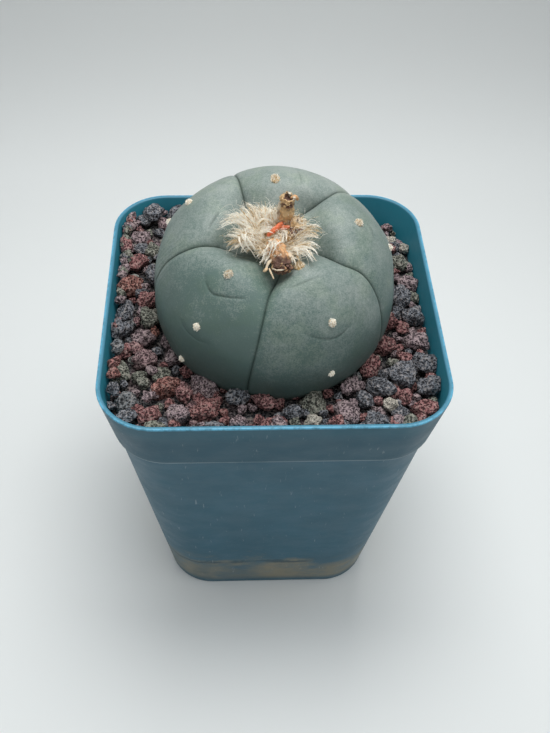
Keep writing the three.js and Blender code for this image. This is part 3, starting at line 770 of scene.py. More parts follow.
def waxy_skin(plant, pot_height):
    """Living cactus skin: a thick grey-green rind under a powdery wax bloom, matt with a faint sheen
    and finely mottled. More bloom is painted on the side that faces the light, round the crown and
    at the back, and less low down in front, as painted light and shade; each rib's bloom is painted
    lighter or darker as well, partly as painted light and shade. The skin is painted darker towards
    the bottom, partly as painted shade, and darker and greener in the furrows and folds, as painted
    shade."""
    material, tree, shader, place = start_material("waxy_cactus_skin")
    height = add_node(tree, "SeparateXYZ", {0: place}, "Z")
    bloom = add_node(tree, "Attribute", {}, "Fac", attribute_name="bloom")
    fold = add_node(tree, "Attribute", {}, "Fac", attribute_name="fold")
    wide = add_node(tree, "TexNoise", cloudy(place, 9, 3, 0.55))
    fine = add_node(tree, "TexNoise", cloudy(place, 1.1, 4, 0.65))
    powder = add_node(tree, "TexNoise", cloudy(place, 0.32, 2, 0.6))
    patches = add_node(tree, "TexNoise", cloudy(place, 8, 3, 0.6))
    middle = (PLANT_X * MM, PLANT_Y * MM, pot_height - 2.4 * MM)
    way = add_node(tree, "VectorMath", {0: place, 1: middle}, operation="SUBTRACT")
    way = add_node(tree, "VectorMath", {0: way}, operation="NORMALIZE")
    # How far the skin faces the side that the light comes from; more bloom is painted there, as painted
    # light.
    young = add_node(tree, "VectorMath", {0: way, 1: PAINTED_LIGHT_SIDE}, "Value", operation="DOT_PRODUCT")
    share = combine(
        tree,
        (young, -0.25, 1.05, 0, 0.6),
        (wide, 0.32, 0.68, -0.14, 0.14),
        bloom,
        (fine, 0.3, 0.7, -0.13, 0.13),
        (powder, 0.3, 0.7, -0.18, 0.18),
        by="ADD",
    )
    waxed = paint(tree, rgba(plant.skin), (rgba(plant.bloom), share))
    inputs = {0: combine(tree, (patches, 0.48, 0.64, 0, 0.35)), 6: waxed, 7: GREENER}
    greener = add_node(tree, "Mix", inputs, 2, data_type="RGBA", blend_type="MULTIPLY")
    tone = paint(
        tree,
        greener,
        # Darker towards the bottom, by the stones: partly older skin, partly painted shade under the bulge.
        (rgba(plant.skin, 0.55), (height, 0.094, 0.112, 0.5, 0)),
        # Painted shade in the furrows and folds, darker and greener.
        (rgba(plant.crease_shade), (fold, 0.05, 1, 0, 0.85)),
    )
    sheen = combine(tree, (fine, 0.3, 0.7, 0.42, 0.58))
    relief = combine(tree, powder, fine, by="ADD")
    finish(tree, shader, relief, 0.05, {"Base Color": tone, "Roughness": sheen, "Specular IOR Level": 0.4})
    return material


def felted_wool(name, wool, dark=1.0):
    """Plant wool: fine curled hairs, cream when young and tan when old, soft and quite matt. A faint
    glow stands for the light that passes on from hair to hair. The tone also carries painted shade,
    darker towards the hairs' roots and in the short locks and cushion underneath, and a dark factor
    under 1 darkens both colours as painted shade under the locks."""
    material, tree, shader, place = start_material(name)
    tone = add_node(tree, "Attribute", {}, "Fac", attribute_name="tone")
    mottle = add_node(tree, "TexNoise", cloudy(place, 0.9, 2, 0.5))
    age = combine(tree, tone, (mottle, 0.3, 0.7, -0.12, 0.12), by="ADD")
    inputs = {
        "Base Color": paint(tree, rgba(wool.cream, dark), (rgba(wool.tan, dark), (age, 0, 1))),
        "Roughness": 0.85,
        "Specular IOR Level": 0.2,
        "Sheen Weight": 0.9,
        "Sheen Roughness": 0.5,
        "Sheen Tint": rgba(linear(SHEEN_TONE)),
        "Emission Color": paint(
            tree, rgba(linear(YOUNG_GLOW)), (rgba(linear(OLD_GLOW)), (age, -0.3, 0.7))
        ),
        "Emission Strength": 0.13,
    }
    feed(tree, shader, inputs)
    return material


def withered(name, tones, size):
    """Dried plant tissue: crumpled, papery, matt, streaked from pale to brown. The tone attribute goes
    through the colours from the first to the last."""
    material, tree, shader, place = start_material(name)
    streaks = add_node(tree, "TexNoise", cloudy(place, size, 4, 0.7))
    flecks = add_node(tree, "TexNoise", cloudy(place, 0.5 * size, 3, 0.6))
    tone = paint(
        tree,
        by_tone(tree, tones, 0.3),
        (rgba(tones[0], 0.22), (streaks, 0.48, 0.68, 0, 0.7)),
        (rgba(linear(FLECK_TONE)), (flecks, 0.58, 0.72, 0, 0.35)),
    )
    finish(tree, shader, streaks, 0.3, {"Base Color": tone, "Roughness": 0.75})
    return material


def fruit_skin(dried):
    """Ripe berry skin: smooth, moist and a little see-through, orange-red."""
    material, tree, shader, place = start_material("ripe_berry_skin")
    mottle = add_node(tree, "TexNoise", cloudy(place, 1.2, 3, 0.5))
    inputs = {
        "Base Color": paint(tree, rgba(dried.ripe), (rgba(dried.ripe, 1.25), (mottle, 0.35, 0.7))),
        "Roughness": 0.35,
        "Subsurface Weight": 0.3,
        "Subsurface Radius": (0.0015, 0.0005, 0.0003),
        "Subsurface Scale": 1.0,
    }
    feed(tree, shader, inputs)
    return material


def painted_floor(studio):
    """A sheet of matt white card, with painted shade that darkens it to a light grey at its far end, where
    the light falls off.
    """
    material, tree, shader, place = start_material("white_card_painted_falloff")
    far = add_node(tree, "SeparateXYZ", {0: place}, "Y")
    # Painted shade that darkens the far end of the card.
    tone = paint(tree, rgba(studio.floor), (rgba(studio.floor, 0), (far, 0.175, 0.265, 0, 0.2)))
    feed(tree, shader, {"Base Color": tone, "Roughness": 0.9, "Specular IOR Level": 0.1})
    return material


# The pot


def pot_sizes(pot):
    """The pot's section lines in millimetres, as functions of the height."""
    height, foot, rim = pot.height / MM, pot.foot_side / MM, pot.rim_side / MM
    band_foot = height - pot.band_height / MM
    wall = pot.wall / MM

    def outside_half(z):
        body = lerp(foot, POT_BODY_TOP_SIDE, z / band_foot)
        band = lerp(POT_BAND_FOOT_SIDE, rim, (z - band_foot) / (height - band_foot))
        return np.where(z < band_foot, body, band) / 2

    def corner(z):
        return lerp(POT_FOOT_CORNER, POT_RIM_CORNER, z / height)

    sizes = {"height": height, "band_foot": band_foot, "wall": wall}
    return {**sizes, "outside_half": outside_half, "corner": corner}


def square_rings(half, corner, z):
    """Rings of a square with round corners: each point is a straight run's share between two corner
    middles plus a quarter turn's ray. half, corner and z are arrays over the rings."""
    spot, ray = [], []
    for quarter in range(4):
        turn = math.pi / 2 * (quarter + np.linspace(0, 1, CORNER_STEPS + 1))
        diagonal = math.pi / 2 * (quarter + 0.5)
        here = np.array([math.cos(diagonal), math.sin(diagonal)]) * math.sqrt(2)
        ahead = np.array([-here[1], here[0]])
        arc = np.stack([np.cos(turn), np.sin(turn)], -1)
        run = np.linspace(0, 1, SIDE_STEPS + 1)[1:-1, None]
        spot += [np.tile(here, (len(arc), 1)), lerp(here, ahead, run)]
        ray += [arc, np.tile(arc[-1], (len(run), 1))]
    spot, ray = np.concatenate(spot), np.concatenate(ray)
    flat = (half - corner)[:, None, None] * spot + corner[:, None, None] * ray
    return np.concatenate([flat, np.broadcast_to(z[:, None, None], flat.shape[:2] + (1,))], -1)


def rounded_profile(corners):
    """A line through corners of (half width, height, trim), where each corner is rounded by a curve
    that starts and ends a trim's length away."""
    line = []
    for number, (half, z, trim) in enumerate(corners):
        here = np.array([half, z], float)
        if trim == 0 or number in (0, len(corners) - 1):
            line.append(here[None])
            continue
        before, after = np.array(corners[number - 1][:2], float), np.array(corners[number + 1][:2], float)
        start, end = here + unit(before - here) * trim, here + unit(after - here) * trim
        share = np.linspace(0, 1, BEND_STEPS)[:, None]
        line.append(lerp(lerp(start, here, share), lerp(here, end, share), share))
    return np.concatenate(line)


def pot_shape(pot):
    """The whole moulding as one closed skin: its section runs from the middle of the underside out
    over the foot ring, up the body and the band, over the rim, down the inside and in over the floor.
    A corner of the section is its half width, its height and how much of it is rounded."""
    sizes = pot_sizes(pot)
    height, band_foot, wall = sizes["height"], sizes["band_foot"], sizes["wall"]
    foot, rim = pot.foot_side / MM / 2, pot.rim_side / MM / 2
    body_top, band_side = POT_BODY_TOP_SIDE / 2, POT_BAND_FOOT_SIDE / 2
    body_height, mid_band = band_foot - POT_EDGE, lerp(band_foot, height, 0.5)

    def inside(z, trim):
        return float(sizes["outside_half"](np.array(float(z)))) - wall, z, trim

    corners = [
        (6, POT_FOOT_RING_HEIGHT, 0),
        (18, POT_FOOT_RING_HEIGHT, 0),
        (foot - POT_FOOT_RING_WIDTH - 0.4, POT_FOOT_RING_HEIGHT, 0.5),
        (foot - POT_FOOT_RING_WIDTH, 0, 0.3),
        (foot, 0, 0.9),
        *((lerp(foot, body_top, share), lerp(0, body_height, share), 0) for share in (0.25, 0.5, 0.75)),
        (body_top, body_height, 0.2),
        (band_side, band_foot, 0.35),
        (lerp(band_side, rim, 0.5), mid_band, 0),
        (rim, height, 0.45),
        (rim - wall, height, 0.4),
        inside(mid_band, 0),
        inside(band_foot, 0.4),
        inside(body_height, 0.3),
        inside(40, 0),
        inside(POT_FLOOR_TOP, POT_FLOOR_EDGE),
        (18, POT_FLOOR_TOP, 0),
        (6, POT_FLOOR_TOP, 0),
    ]
    half, z = rounded_profile(corners).T
    corner = sizes["corner"](z) + half - sizes["outside_half"](z)
    grid = square_rings(half, np.maximum(corner, np.minimum(0.45 * half, 8)), z)
    shape = skin(grid[None], on_axis(POT_FOOT_RING_HEIGHT), on_axis(POT_FLOOR_TOP))
    on_inside = (np.arange(len(z)) > np.argmax(z) + 5).astype(float)
    # The outer edge of the rim, which takes the painted glints.
    lip_glint = np.clip(1 - np.abs(half - rim + 0.2) / 0.5, 0, 1) * (z > height - 0.5)
    inner, lip = (np.repeat(values, grid.shape[1]) for values in (on_inside, lip_glint))
    shape["values"] = {"inside": with_ends(inner, end=1), "lip": with_ends(lip)}
    return shape


def drill_shape():
    """Five upright cylinders, one in the middle of the floor and one towards each corner."""
    spots = np.array([(0, 0), (1, 1), (-1, 1), (-1, -1), (1, -1)], float) * DRAIN_SPREAD
    levels = np.broadcast_to(np.array(DRILL_LEVELS)[None, :, None], (len(spots), 2, 1))
    paths = np.concatenate([np.repeat(spots[:, None], 2, 1), levels], -1)
    return tubes(paths, np.full((len(spots), 2), DRAIN_RADIUS), DRILL_SIDES)


def cut(piece, shape):
    """Takes a shape out of a piece, for good."""
    tool = make_piece("drill", shape, piece.data.materials[0])
    modifier = piece.modifiers.new("holes", "BOOLEAN")
    modifier.object = tool
    modifier.operation = "DIFFERENCE"
    modifier.solver = "EXACT"
    whole = piece.evaluated_get(bpy.context.evaluated_depsgraph_get())
    mesh = bpy.data.meshes.new_from_object(whole)
    piece.modifiers.clear()
    old = piece.data
    piece.data = mesh
    bpy.data.meshes.remove(old)
    spare = tool.data
    bpy.data.objects.remove(tool)
    bpy.data.meshes.remove(spare)
    piece.data.set_sharp_from_angle(angle=math.radians(40))


# The plant


def dome(plant, angle):
    """Radius and height of the dome at a polar angle up to 90: a superellipse, less a round dip."""
    turn = np.radians(angle)
    radius = plant.radius / MM * np.sin(turn) ** (2 / DOME_POWER)
    dip = plant.crown_dip / MM * np.exp(-((radius / CROWN_DIP_RADIUS) ** 2))
    return radius, plant.dome_height / MM * np.maximum(0, np.cos(turn)) ** (2 / DOME_POWER) - dip


def flank_radius(plant, depth):
    """Radius at a depth under the widest ring: a cosine step from the body in to a tapering root."""
    root = ROOT_RADIUS * np.maximum(0, 1 - depth / ROOT_LENGTH) ** 0.8
    flare = (1 + np.cos(np.pi * np.minimum(1, depth / ROOT_FLARE))) / 2
    return root + (plant.radius / MM - root) * flare


def outline(plant, angle):
    """Radius and height of the plain outline: the dome up to 90, then the flank, with the tip at 180."""
    radius, height = dome(plant, np.minimum(angle, 90))
    depth = ROOT_LENGTH * (np.maximum(0, angle - 90) / 90) ** 1.25
    return np.where(angle > 90, flank_radius(plant, depth), radius), np.where(angle > 90, -depth, height)


def turned(plant, azimuth, angle):
    """Places and outward normals on the plain outline turned round the plant's axis."""
    radius, height = outline(plant, angle)
    wide, high = outline(plant, angle + 0.5)
    narrow, low = outline(plant, np.maximum(0, angle - 0.5))
    across, up = low - high, wide - narrow
    size = np.hypot(across, up)
    round_ = np.stack([np.cos(azimuth), np.sin(azimuth)], -1)
    place = np.concatenate([round_ * radius[..., None], height[..., None]], -1)
    normal = np.concatenate([round_ * (across / size)[..., None], (up / size)[..., None]], -1)
    return place, normal


def across_rib(plant, rib, share, angle):
    """Azimuth at a share from a rib's left furrow to its right one, and the distance from the nearer."""
    courses = [spline(course, np.asarray(angle) / 90) for course in FURROWS]
    courses = np.stack(courses + [courses[0] + 360])
    left = np.take_along_axis(courses, rib[None], 0)[0]
    right = np.take_along_axis(courses, rib[None] + 1, 0)[0]
    azimuth = np.radians(lerp(left, right, share))
    radius, _ = outline(plant, angle)
    return azimuth, np.minimum(share, 1 - share) * np.radians(right - left) * radius


def furrow_depth(angle, distance):
    """How far the skin sinks beside a furrow: deep near the crown and shallow below, falling off by a
    negative exponential of the distance, with a fine line in the middle."""
    share = angle / FURROW_DEEPEST_AT
    deep = FURROW_DEEPEST * (share * np.exp(1 - share)) ** 3
    shallow = FURROW_SHALLOW * (1 - np.exp(-angle / 10))
    width = FURROW_NARROW + FURROW_WIDE * np.exp(-angle / FURROW_WIDTH_FADE)
    line = FURROW_LINE_DEPTH * np.exp(-distance / FURROW_LINE_WIDTH) * (1 - np.exp(-angle / 8))
    return (deep + shallow) * np.exp(-distance / width) + line


def areole_places(plant):
    """Places, normals, lengths and tones of the areoles, on the plain outline."""
    rib, angle, share, size, tone = (np.array(column) for column in zip(*AREOLES))
    angle = angle.astype(float)
    azimuth, _ = across_rib(plant, rib, share, angle)
    return *turned(plant, azimuth, angle), rib, share, angle, size, tone


def crease_depth_and_shade(plant, place):
    """Depth of the folds at each place, and the painted shade in them. A fold is a smooth curve on the
    outline. It fades by the square exponential of the distance, and towards its ends."""
    depth, fold_shade = np.zeros(place.shape[:-1]), np.zeros(place.shape[:-1])
    for deepest, course in CREASES:
        share = np.linspace(0, 1, 34)
        azimuth, angle = spline(course, share).T
        line, _ = turned(plant, np.radians(azimuth), angle)
        for point, weight in zip(line, np.sin(np.pi * (0.04 + 0.92 * share)) ** 0.6):
            distance = np.sum((place - point) ** 2, axis=-1)
            near = weight * np.exp(-distance / CREASE_WIDTH**2)
            depth = np.maximum(depth, deepest * (near + 0.3 * weight * np.exp(-distance / 2.2)))
            fold_shade = np.maximum(fold_shade, near * deepest / 0.3)
    return depth, fold_shade


def skin_points(plant, rib, share, angle):
    """The skin: the turned outline, sunk along its normal at the furrows and raised at the areoles."""
    azimuth, distance = across_rib(plant, rib, share, angle)
    place, normal = turned(plant, azimuth, angle)
    fade_out = np.where(angle > 90, np.maximum(0, 1 - (angle - 90) / 25), 1)
    offset = -furrow_depth(np.minimum(angle, 90), distance) * fade_out
    for middle in areole_places(plant)[0]:
        near = np.exp(-np.sum((place - middle) ** 2, axis=-1) / AREOLE_SPREAD**2)
        offset = offset + AREOLE_RISE * near
    return place, normal, offset, distance


def body_shape(plant):
    """The body and taproot as one skin. Rings run from the root's tip to the crown, and points on a
    ring are closer together near the furrows. Folds, ripples and faint dents are added to the skin."""
    root, flank = np.linspace(178, 122, 14), np.linspace(118, 92, 24)
    angle = np.concatenate([root, flank, 90 * (1 - np.linspace(0, 0.992, DOME_RINGS))])
    even = np.linspace(0, 1, RIB_STEPS, endpoint=False)
    bunched = 0.5 - 0.5 * np.sign(0.5 - even) * (1 - (1 - np.abs(1 - 2 * even)) ** 1.6)
    rib = np.broadcast_to(np.repeat(np.arange(5), RIB_STEPS), (len(angle), 5 * RIB_STEPS))
    share = np.broadcast_to(np.tile(bunched, 5), rib.shape)
    angle = np.broadcast_to(angle[:, None], rib.shape)
    place, normal, offset, distance = skin_points(plant, rib, share, angle)
    depth, fold_shade = crease_depth_and_shade(plant, place)
    by_left = ((rib == 2) & (share < 0.5)) | ((rib == 1) & (share > 0.5))
    beside = np.exp(-(((angle - 66) / 20) ** 2)) * np.exp(-((distance - 3) ** 2) / 30) * by_left
    ripple = 0.08 * np.sin(2 * np.pi * (distance + 0.6 * noise(place, 4, 3)) / 1.15)
    dents = layered_noise(place, (0.16, 7, 5), (0.05, 2.4, 6))
    shown = np.clip((125 - angle) / 20, 0, 1)
    offset = offset - depth + (ripple * beside + dents) * shown
    grid = place + normal * offset[..., None]
    shape = skin(grid[None], on_axis(-ROOT_LENGTH), on_axis(dome(plant, 0.0)[1]))
    # A dark line painted down each furrow, and the folds' darkness, as painted shade.
    line = 0.75 * np.exp(-distance / 0.4) * (1 - np.exp(-angle / 8))
    fold = np.clip(np.maximum(fold_shade, line), 0, 1)
    # Lighter or darker bloom painted on each rib, partly as painted light and shade, fading out at the
    # furrows.
    kept = np.array(RIB_BLOOM_AND_SHADE)[rib] * np.clip(distance / 3, 0, 1)
    shape["values"] = {"fold": with_ends(fold), "bloom": with_ends(kept)}
    return shape


def stand(shape, plant, pot):
    """Carries a shape from the plant's frame to the pot's: leant towards the viewer and moved up."""
    x, y, z = shape["points"].T
    cos, sin = math.cos(plant.lean), math.sin(plant.lean)
    level = (pot.height + plant.above_rim) / MM
    shape["points"] = np.stack([x + PLANT_X, y * cos - z * sin + PLANT_Y, y * sin + z * cos + level], -1)
    return shape


def make_in_plant(scene, name, shape, material, nodes=()):
    """A piece from a shape that is given in the plant's frame."""
    standing = stand(shape, scene.cactus_plant, scene.cactus_pot)
    return make_piece(name, standing, material, nodes)


def bent(roots, tips, arch, rings):
    """Ways from roots to tips, straight but for an arch that is highest half way."""
    share = np.linspace(0, 1, rings)[None, :, None]
    return roots[:, None] + (tips - roots)[:, None] * share + arch[:, None] * 4 * share * (1 - share)


def hairs(paths, wave, radius, rng):
    """Three-sided tapering tubes along paths, each swung by a wave that grows towards the tip."""
    count, rings = paths.shape[:2]
    share = np.linspace(0, 1, rings)[None, :, None]
    way = paths[:, -1] - paths[:, 0]
    reach = np.linalg.norm(way, axis=-1)[:, None, None]
    side = unit(np.cross(way, rng.normal(size=(count, 3))))[:, None]
    other = unit(np.cross(way, side[:, 0]))[:, None]
    start = rng.uniform(0, 1, (2, count, 1, 1))
    turns = rng.uniform(0.6, 1.6, (2, count, 1, 1)) * reach / 5 * share
    phase = 2 * np.pi * (start + turns)
    swing = wave * share * (side * np.sin(phase[0]) + other * np.sin(phase[1]))
    radii = np.broadcast_to(radius * lerp(1, 0.35, share[..., 0]), (count, rings))
    return tubes(paths + swing, radii * rng.uniform(0.7, 1.2, (count, 1)), 3)


def hair_tones(tones, rings, darker):
    """Tones for the points of three-sided hairs: a tone for each hair, darker by an amount at the root,
    as painted shade deep in the wool.
    """
    shade = with_ends(np.repeat(np.linspace(0, 1, rings), 3), end=1)
    return (np.asarray(tones, float)[:, None] + darker * (1 - shade) ** 2).ravel()


def areole_shape(plant):
    """Dense tufts on the ribs: short hairs from an oval patch, longest in the middle, that lean
    together away from the crown."""
    rng = np.random.default_rng(seed=11)
    _, normal, rib, share, angle, size, tone = areole_places(plant)
    place, _, offset, _ = skin_points(plant, rib, share, angle)
    place = place + normal * offset[:, None]
    rings, count = 5, AREOLE_HAIRS * len(place)
    place, upright, wide = (np.repeat(values, AREOLE_HAIRS, 0) for values in (place, normal, size[:, None]))
    side = unit(np.cross(upright, [0, 0, 1]))
    down = np.cross(side, upright)
    down = down * -np.sign(down[:, 2:])
    turn = rng.uniform(0, 2 * np.pi, (count, 1))
    out = np.sqrt(rng.uniform(0, 1, (count, 1)))
    ray = 0.72 * side * np.cos(turn) + 0.8 * down * np.sin(turn)
    roots = place + ray * out * wide - upright * 0.3
    tall = 0.3 + wide * rng.uniform(0.4, 0.95, (count, 1)) * (1 - 0.8 * out**2)
    splay = rng.normal(0, 0.1, (count, 1)) * side + rng.normal(0.2, 0.12, (count, 1)) * down
    tips = roots + upright * tall + splay * wide
    shape = hairs(bent(roots, tips, ray * 0.12, rings), 0.12, AREOLE_HAIR_RADIUS, rng)
    tones = np.repeat(0.6 * tone, AREOLE_HAIRS) + rng.normal(0, 0.3, count)
    shape["values"] = {"tone": hair_tones(tones, rings, 0.4)}
    return shape


# What stands in the crown


def over_dome(plant, azimuth, angle, lift):
    """A point over the dome, at an azimuth and a polar angle."""
    radius, height = dome(plant, angle)
    turn = math.radians(azimuth)
    return np.array([radius * math.cos(turn), radius * math.sin(turn), height + lift])


def lock_ends(plant, count, draw):
    """Root and tip of each lock of wool: the azimuths go round by the golden turn, and the outer locks
    lie lower and reach further on the side that the wool is combed towards."""
    ends = []
    for number in range(count):
        azimuth = number * GOLDEN_TURN + lerp(-10, 10, next(draw))
        outward = math.sqrt((number + 0.5) / count)
        reach = WOOL_REACH + WOOL_REACH_SWING * math.cos(math.radians(azimuth - WOOL_SWING_AZIMUTH))
        root = lerp(WOOL_INNERMOST, WOOL_OUTERMOST, outward)
        tip = lerp(root + 5, reach, outward) * lerp(0.85, 1.15, next(draw))
        low = over_dome(plant, azimuth, root, 0.4 * WOOL_THICKNESS)
        tip_azimuth = azimuth + lerp(-16, 16, next(draw))
        lift = lerp(6, 2.8, outward) + lerp(-0.6, 1, next(draw))
        high = over_dome(plant, tip_azimuth, tip, lift)
        ends.append((low, high))
    return np.array(ends)


def dome_height(plant, radius):
    """Height of the dome at a radius from its axis."""
    sine = np.clip(radius / (plant.radius / MM), 0, 1) ** (DOME_POWER / 2)
    dip = plant.crown_dip / MM * np.exp(-((radius / CROWN_DIP_RADIUS) ** 2))
    return plant.dome_height / MM * (1 - sine**2) ** (1 / DOME_POWER) - dip


def sheaf_paths(plant, strands, each, rings, rng):
    """Paths and tones of hairs in the strands of the sheaves. Seen from above a sheaf is a straight way
    with a sideways bend, and it keeps a changing height over the dome. Its strands are set apart,
    lengthened and curled by draws, and the hairs of a strand stay close and meet towards its tip."""
    rows = np.array(SHEAVES, float)
    azimuth, tip_azimuth = np.radians(rows[:, 0]), np.radians(rows[:, 2])
    near, far = dome(plant, rows[:, 1])[0], dome(plant, rows[:, 3])[0]
    start = np.stack([near * np.cos(azimuth), near * np.sin(azimuth)], -1)
    end = np.stack([far * np.cos(tip_azimuth), far * np.sin(tip_azimuth)], -1)
    start, end = np.repeat(start, strands * each, 0), np.repeat(end, strands * each, 0)
    bend, middle, high = (np.repeat(rows[:, i], strands * each)[:, None] for i in (4, 5, 6))
    count = len(start)

    def by_strand(values):
        return np.repeat(values, each, 0)

    bundles = (len(rows) * strands, 1)
    way = end - start
    side = np.stack([-way[:, 1], way[:, 0]], -1) / np.linalg.norm(way, axis=-1, keepdims=True)
    stretch = by_strand(rng.uniform(0.6, 1.08, bundles)) * rng.uniform(0.85, 1.03, (count, 1))
    share = stretch * np.linspace(0, 1, rings)
    arch = 4 * share * (1 - share)
    close = 1.2 - 0.8 * share
    apart = by_strand(rng.normal(0, 0.68, bundles)) + rng.normal(0, 0.14, (count, 1)) * close
    curl = by_strand(rng.normal(0, 0.42, bundles)) * np.sin(5 * share)
    aside = (bend * arch + apart + curl)[..., None]
    flat = start[:, None] + way[:, None] * share[..., None] + side[:, None] * aside
    lift = lerp(1.2, high, share) + (middle - lerp(1.2, high, 0.5)) * arch
    lift = lift + by_strand(rng.normal(0, 0.6, bundles)) + rng.normal(0, 0.14, (count, 1)) * close
    level = dome_height(plant, np.linalg.norm(flat, axis=-1)) + np.maximum(lift, 0.25)
    tones = np.repeat(rows[:, 7], strands * each) + by_strand(rng.normal(0.12, 0.55, bundles))[:, 0]
    return np.concatenate([flat, level[..., None]], -1), tones


def wool_shape(plant, wool):
    """The crown's wool: the combed sheaves, over short locks that fill the dip all round."""
    rng = np.random.default_rng(seed=4)
    thick = wool.hair_radius / MM
    rings = 8
    paths, tones = sheaf_paths(plant, STRANDS, wool.hairs // STRANDS, rings, rng)
    tones = tones + rng.normal(0, 0.08, len(tones))
    combed = hairs(paths, 0.12, thick, rng)
    combed["values"] = {"tone": hair_tones(tones, rings, 0.6)}
    ends = lock_ends(plant, SHORT_LOCKS, draws(seed=21))
    rings, count = 5, SHORT_LOCKS * LOCK_HAIRS
    low, high = (np.repeat(ends[:, i], LOCK_HAIRS, 0) for i in (0, 1))
    roots = low + rng.normal(0, 0.5, (count, 3))
    tips = low + (high - low) * rng.uniform(0.3, 0.8, (count, 1)) + rng.normal(0, 0.35, (count, 3))
    short = hairs(bent(roots, tips, np.tile([0, 0, 0.3], (count, 1)), rings), 0.25, thick, rng)
    # The short locks under the sheaves are toned towards tan and darkened at the root, partly as painted
    # shade.
    short["values"] = {"tone": hair_tones(rng.normal(0.4, 0.3, count), rings, 0.5)}
    return gather([combed, short])


def wisp_shape(plant, wool):
    """Fine white hairs that stray from the sheaves."""
    rng = np.random.default_rng(seed=9)
    rings = 12
    paths, tones = sheaf_paths(plant, WISPS, 1, rings, rng)
    share = np.linspace(0, 1, rings)[:, None]
    paths = paths + rng.normal(0, 1.1, (len(paths), 1, 3)) * [1, 1, 0.3] * share + [0, 0, 0.4]
    shape = hairs(paths, 0.7, 0.7 * wool.hair_radius / MM, rng)
    shape["values"] = {"tone": hair_tones(tones - 0.25, rings, 0.1)}
    return shape


def cushion_shape(plant):
    """The felted cushion under the locks: a lens that follows the dip, made lumpy by noise on top.
    Rings go out from the axis underneath, and back in on top."""
    below, above = np.linspace(0.08, 1, 18), np.linspace(1, 0.06, 22)[1:]
    turn = around(96)
    radius, height = dome(plant, 90 * (0.1 * np.concatenate([below, above])) ** 1.15)
    thick = 0.8 * WOOL_THICKNESS * np.sqrt(np.maximum(0, 1 - above**2))
    level = height + WOOL_CLEAR + np.concatenate([0 * below, thick])
    wide = radius[:, None]
    grid = np.stack([wide * np.cos(turn), wide * np.sin(turn), level[:, None] + 0 * turn], -1)
    upper = np.concatenate([0 * below, 0 * above + 1])[:, None]
    grid[..., 2] += upper * layered_noise(grid, (0.5, 1.4, 2), (0.25, 0.6, 3))
    foot = dome(plant, 0.0)[1] + WOOL_CLEAR
    shape = skin(grid[None], on_axis(foot), on_axis(foot + 0.9 * WOOL_THICKNESS))
    # A tan tone, partly as painted shade under the locks.
    shape["values"] = {"tone": np.full(len(shape["points"]), 0.8)}
    return shape


def crumpled(path, radii, rings, sides, tone, pleat, crumb, seed, axes=None):
    """A withered tube: its path and radii are smooth curves through the given ones, its skin is drawn
    into pleats along it and crumpled by noise. tone is a value, or one for each given point."""
    share = np.linspace(0, 1, rings)
    middle = spline(path, share)[None]
    radius = spline(np.array(radii, float)[:, None], share)[None, :, 0]
    turn = around(sides)

    def rough(points):
        drift = 1.3 * noise(points * 0.5 + seed, 1.0, seed)
        fine_pleats = 0.5 * np.abs(np.sin(8 * turn + 2 * drift))
        pleats = np.abs(np.sin(3.5 * turn + drift + seed)) - 0.6 + fine_pleats
        return pleat * pleats + crumb * layered_noise(
            points, (1, 0.9, seed + 1), (0.7, 0.45, seed + 2), (0.4, 0.25, seed + 4)
        )

    shape = tubes(middle, radius, sides, rough, axes)
    tones = spline(np.broadcast_to(np.asarray(tone, float), (len(path),))[:, None], share)[:, 0]
    body = np.repeat(tones, sides) + 0.3 * noise(shape["points"][1:-1], 1.1, seed + 3)
    shape["values"] = {"tone": with_ends(body, tones[0], tones[-1])}
    return shape


def ribbon(path, width, thick, tone, seed, twist):
    """A dry strip: an oval tube along a smooth path, wide one way and thin the other, with a ragged
    edge, turned by a twist from end to end."""
    rings, sides = 18, 10
    share = np.linspace(0, 1, rings)
    middle = spline(path, share)
    along = unit(np.gradient(middle, axis=0))
    across = unit(np.cross([0, 0, 1.0], along))
    over = np.cross(along, across)
    angle = (twist * share)[:, None]
    wide = across * np.cos(angle) + over * np.sin(angle)
    flat = over * np.cos(angle) - across * np.sin(angle)
    turn = around(sides)[:, None]
    rng = np.random.default_rng(seed)
    taper = np.sin(np.pi * lerp(0.12, 0.93, share)) ** 0.5 * rng.uniform(0.75, 1.15, rings)
    edge = wide[:, None] * np.cos(turn) * width * taper[:, None, None]
    grid = middle[:, None] + (edge + flat[:, None] * np.sin(turn) * thick)
    grid = grid + 0.12 * noise(grid, 0.7, seed)[..., None] * flat[:, None]
    shape = skin(grid[None], middle[:1], middle[-1:])
    shape["values"] = {"tone": np.full(len(shape["points"]), float(tone))}
    return shape


def crumbs(middles, sizes, tones, seed):
    """Small dry flakes as rough five-ring balls squashed at random."""
    rng = np.random.default_rng(seed)
    count, rings, sides = len(middles), 5, 8
    frames = np.linalg.qr(rng.normal(size=(count, 3, 3)))[0]
    frames *= np.sign(np.linalg.det(frames))[:, None, None]
    squash = rng.uniform([0.8, 0.5, 0.25], [1.3, 1, 0.6], (count, 3)) * np.asarray(sizes)[:, None]
    axes = frames * squash[:, None, :]
    grid = np.einsum("rsk,bjk->brsj", ball_rays(rings, sides, 0.7), axes)
    grid = grid * rng.uniform(0.75, 1.25, (count, rings, sides, 1)) + middles[:, None, None]
    shape = skin(grid, middles - axes[..., 2], middles + axes[..., 2])
    shape["values"] = {"tone": spread(tones, shape["each"])}
    return shape


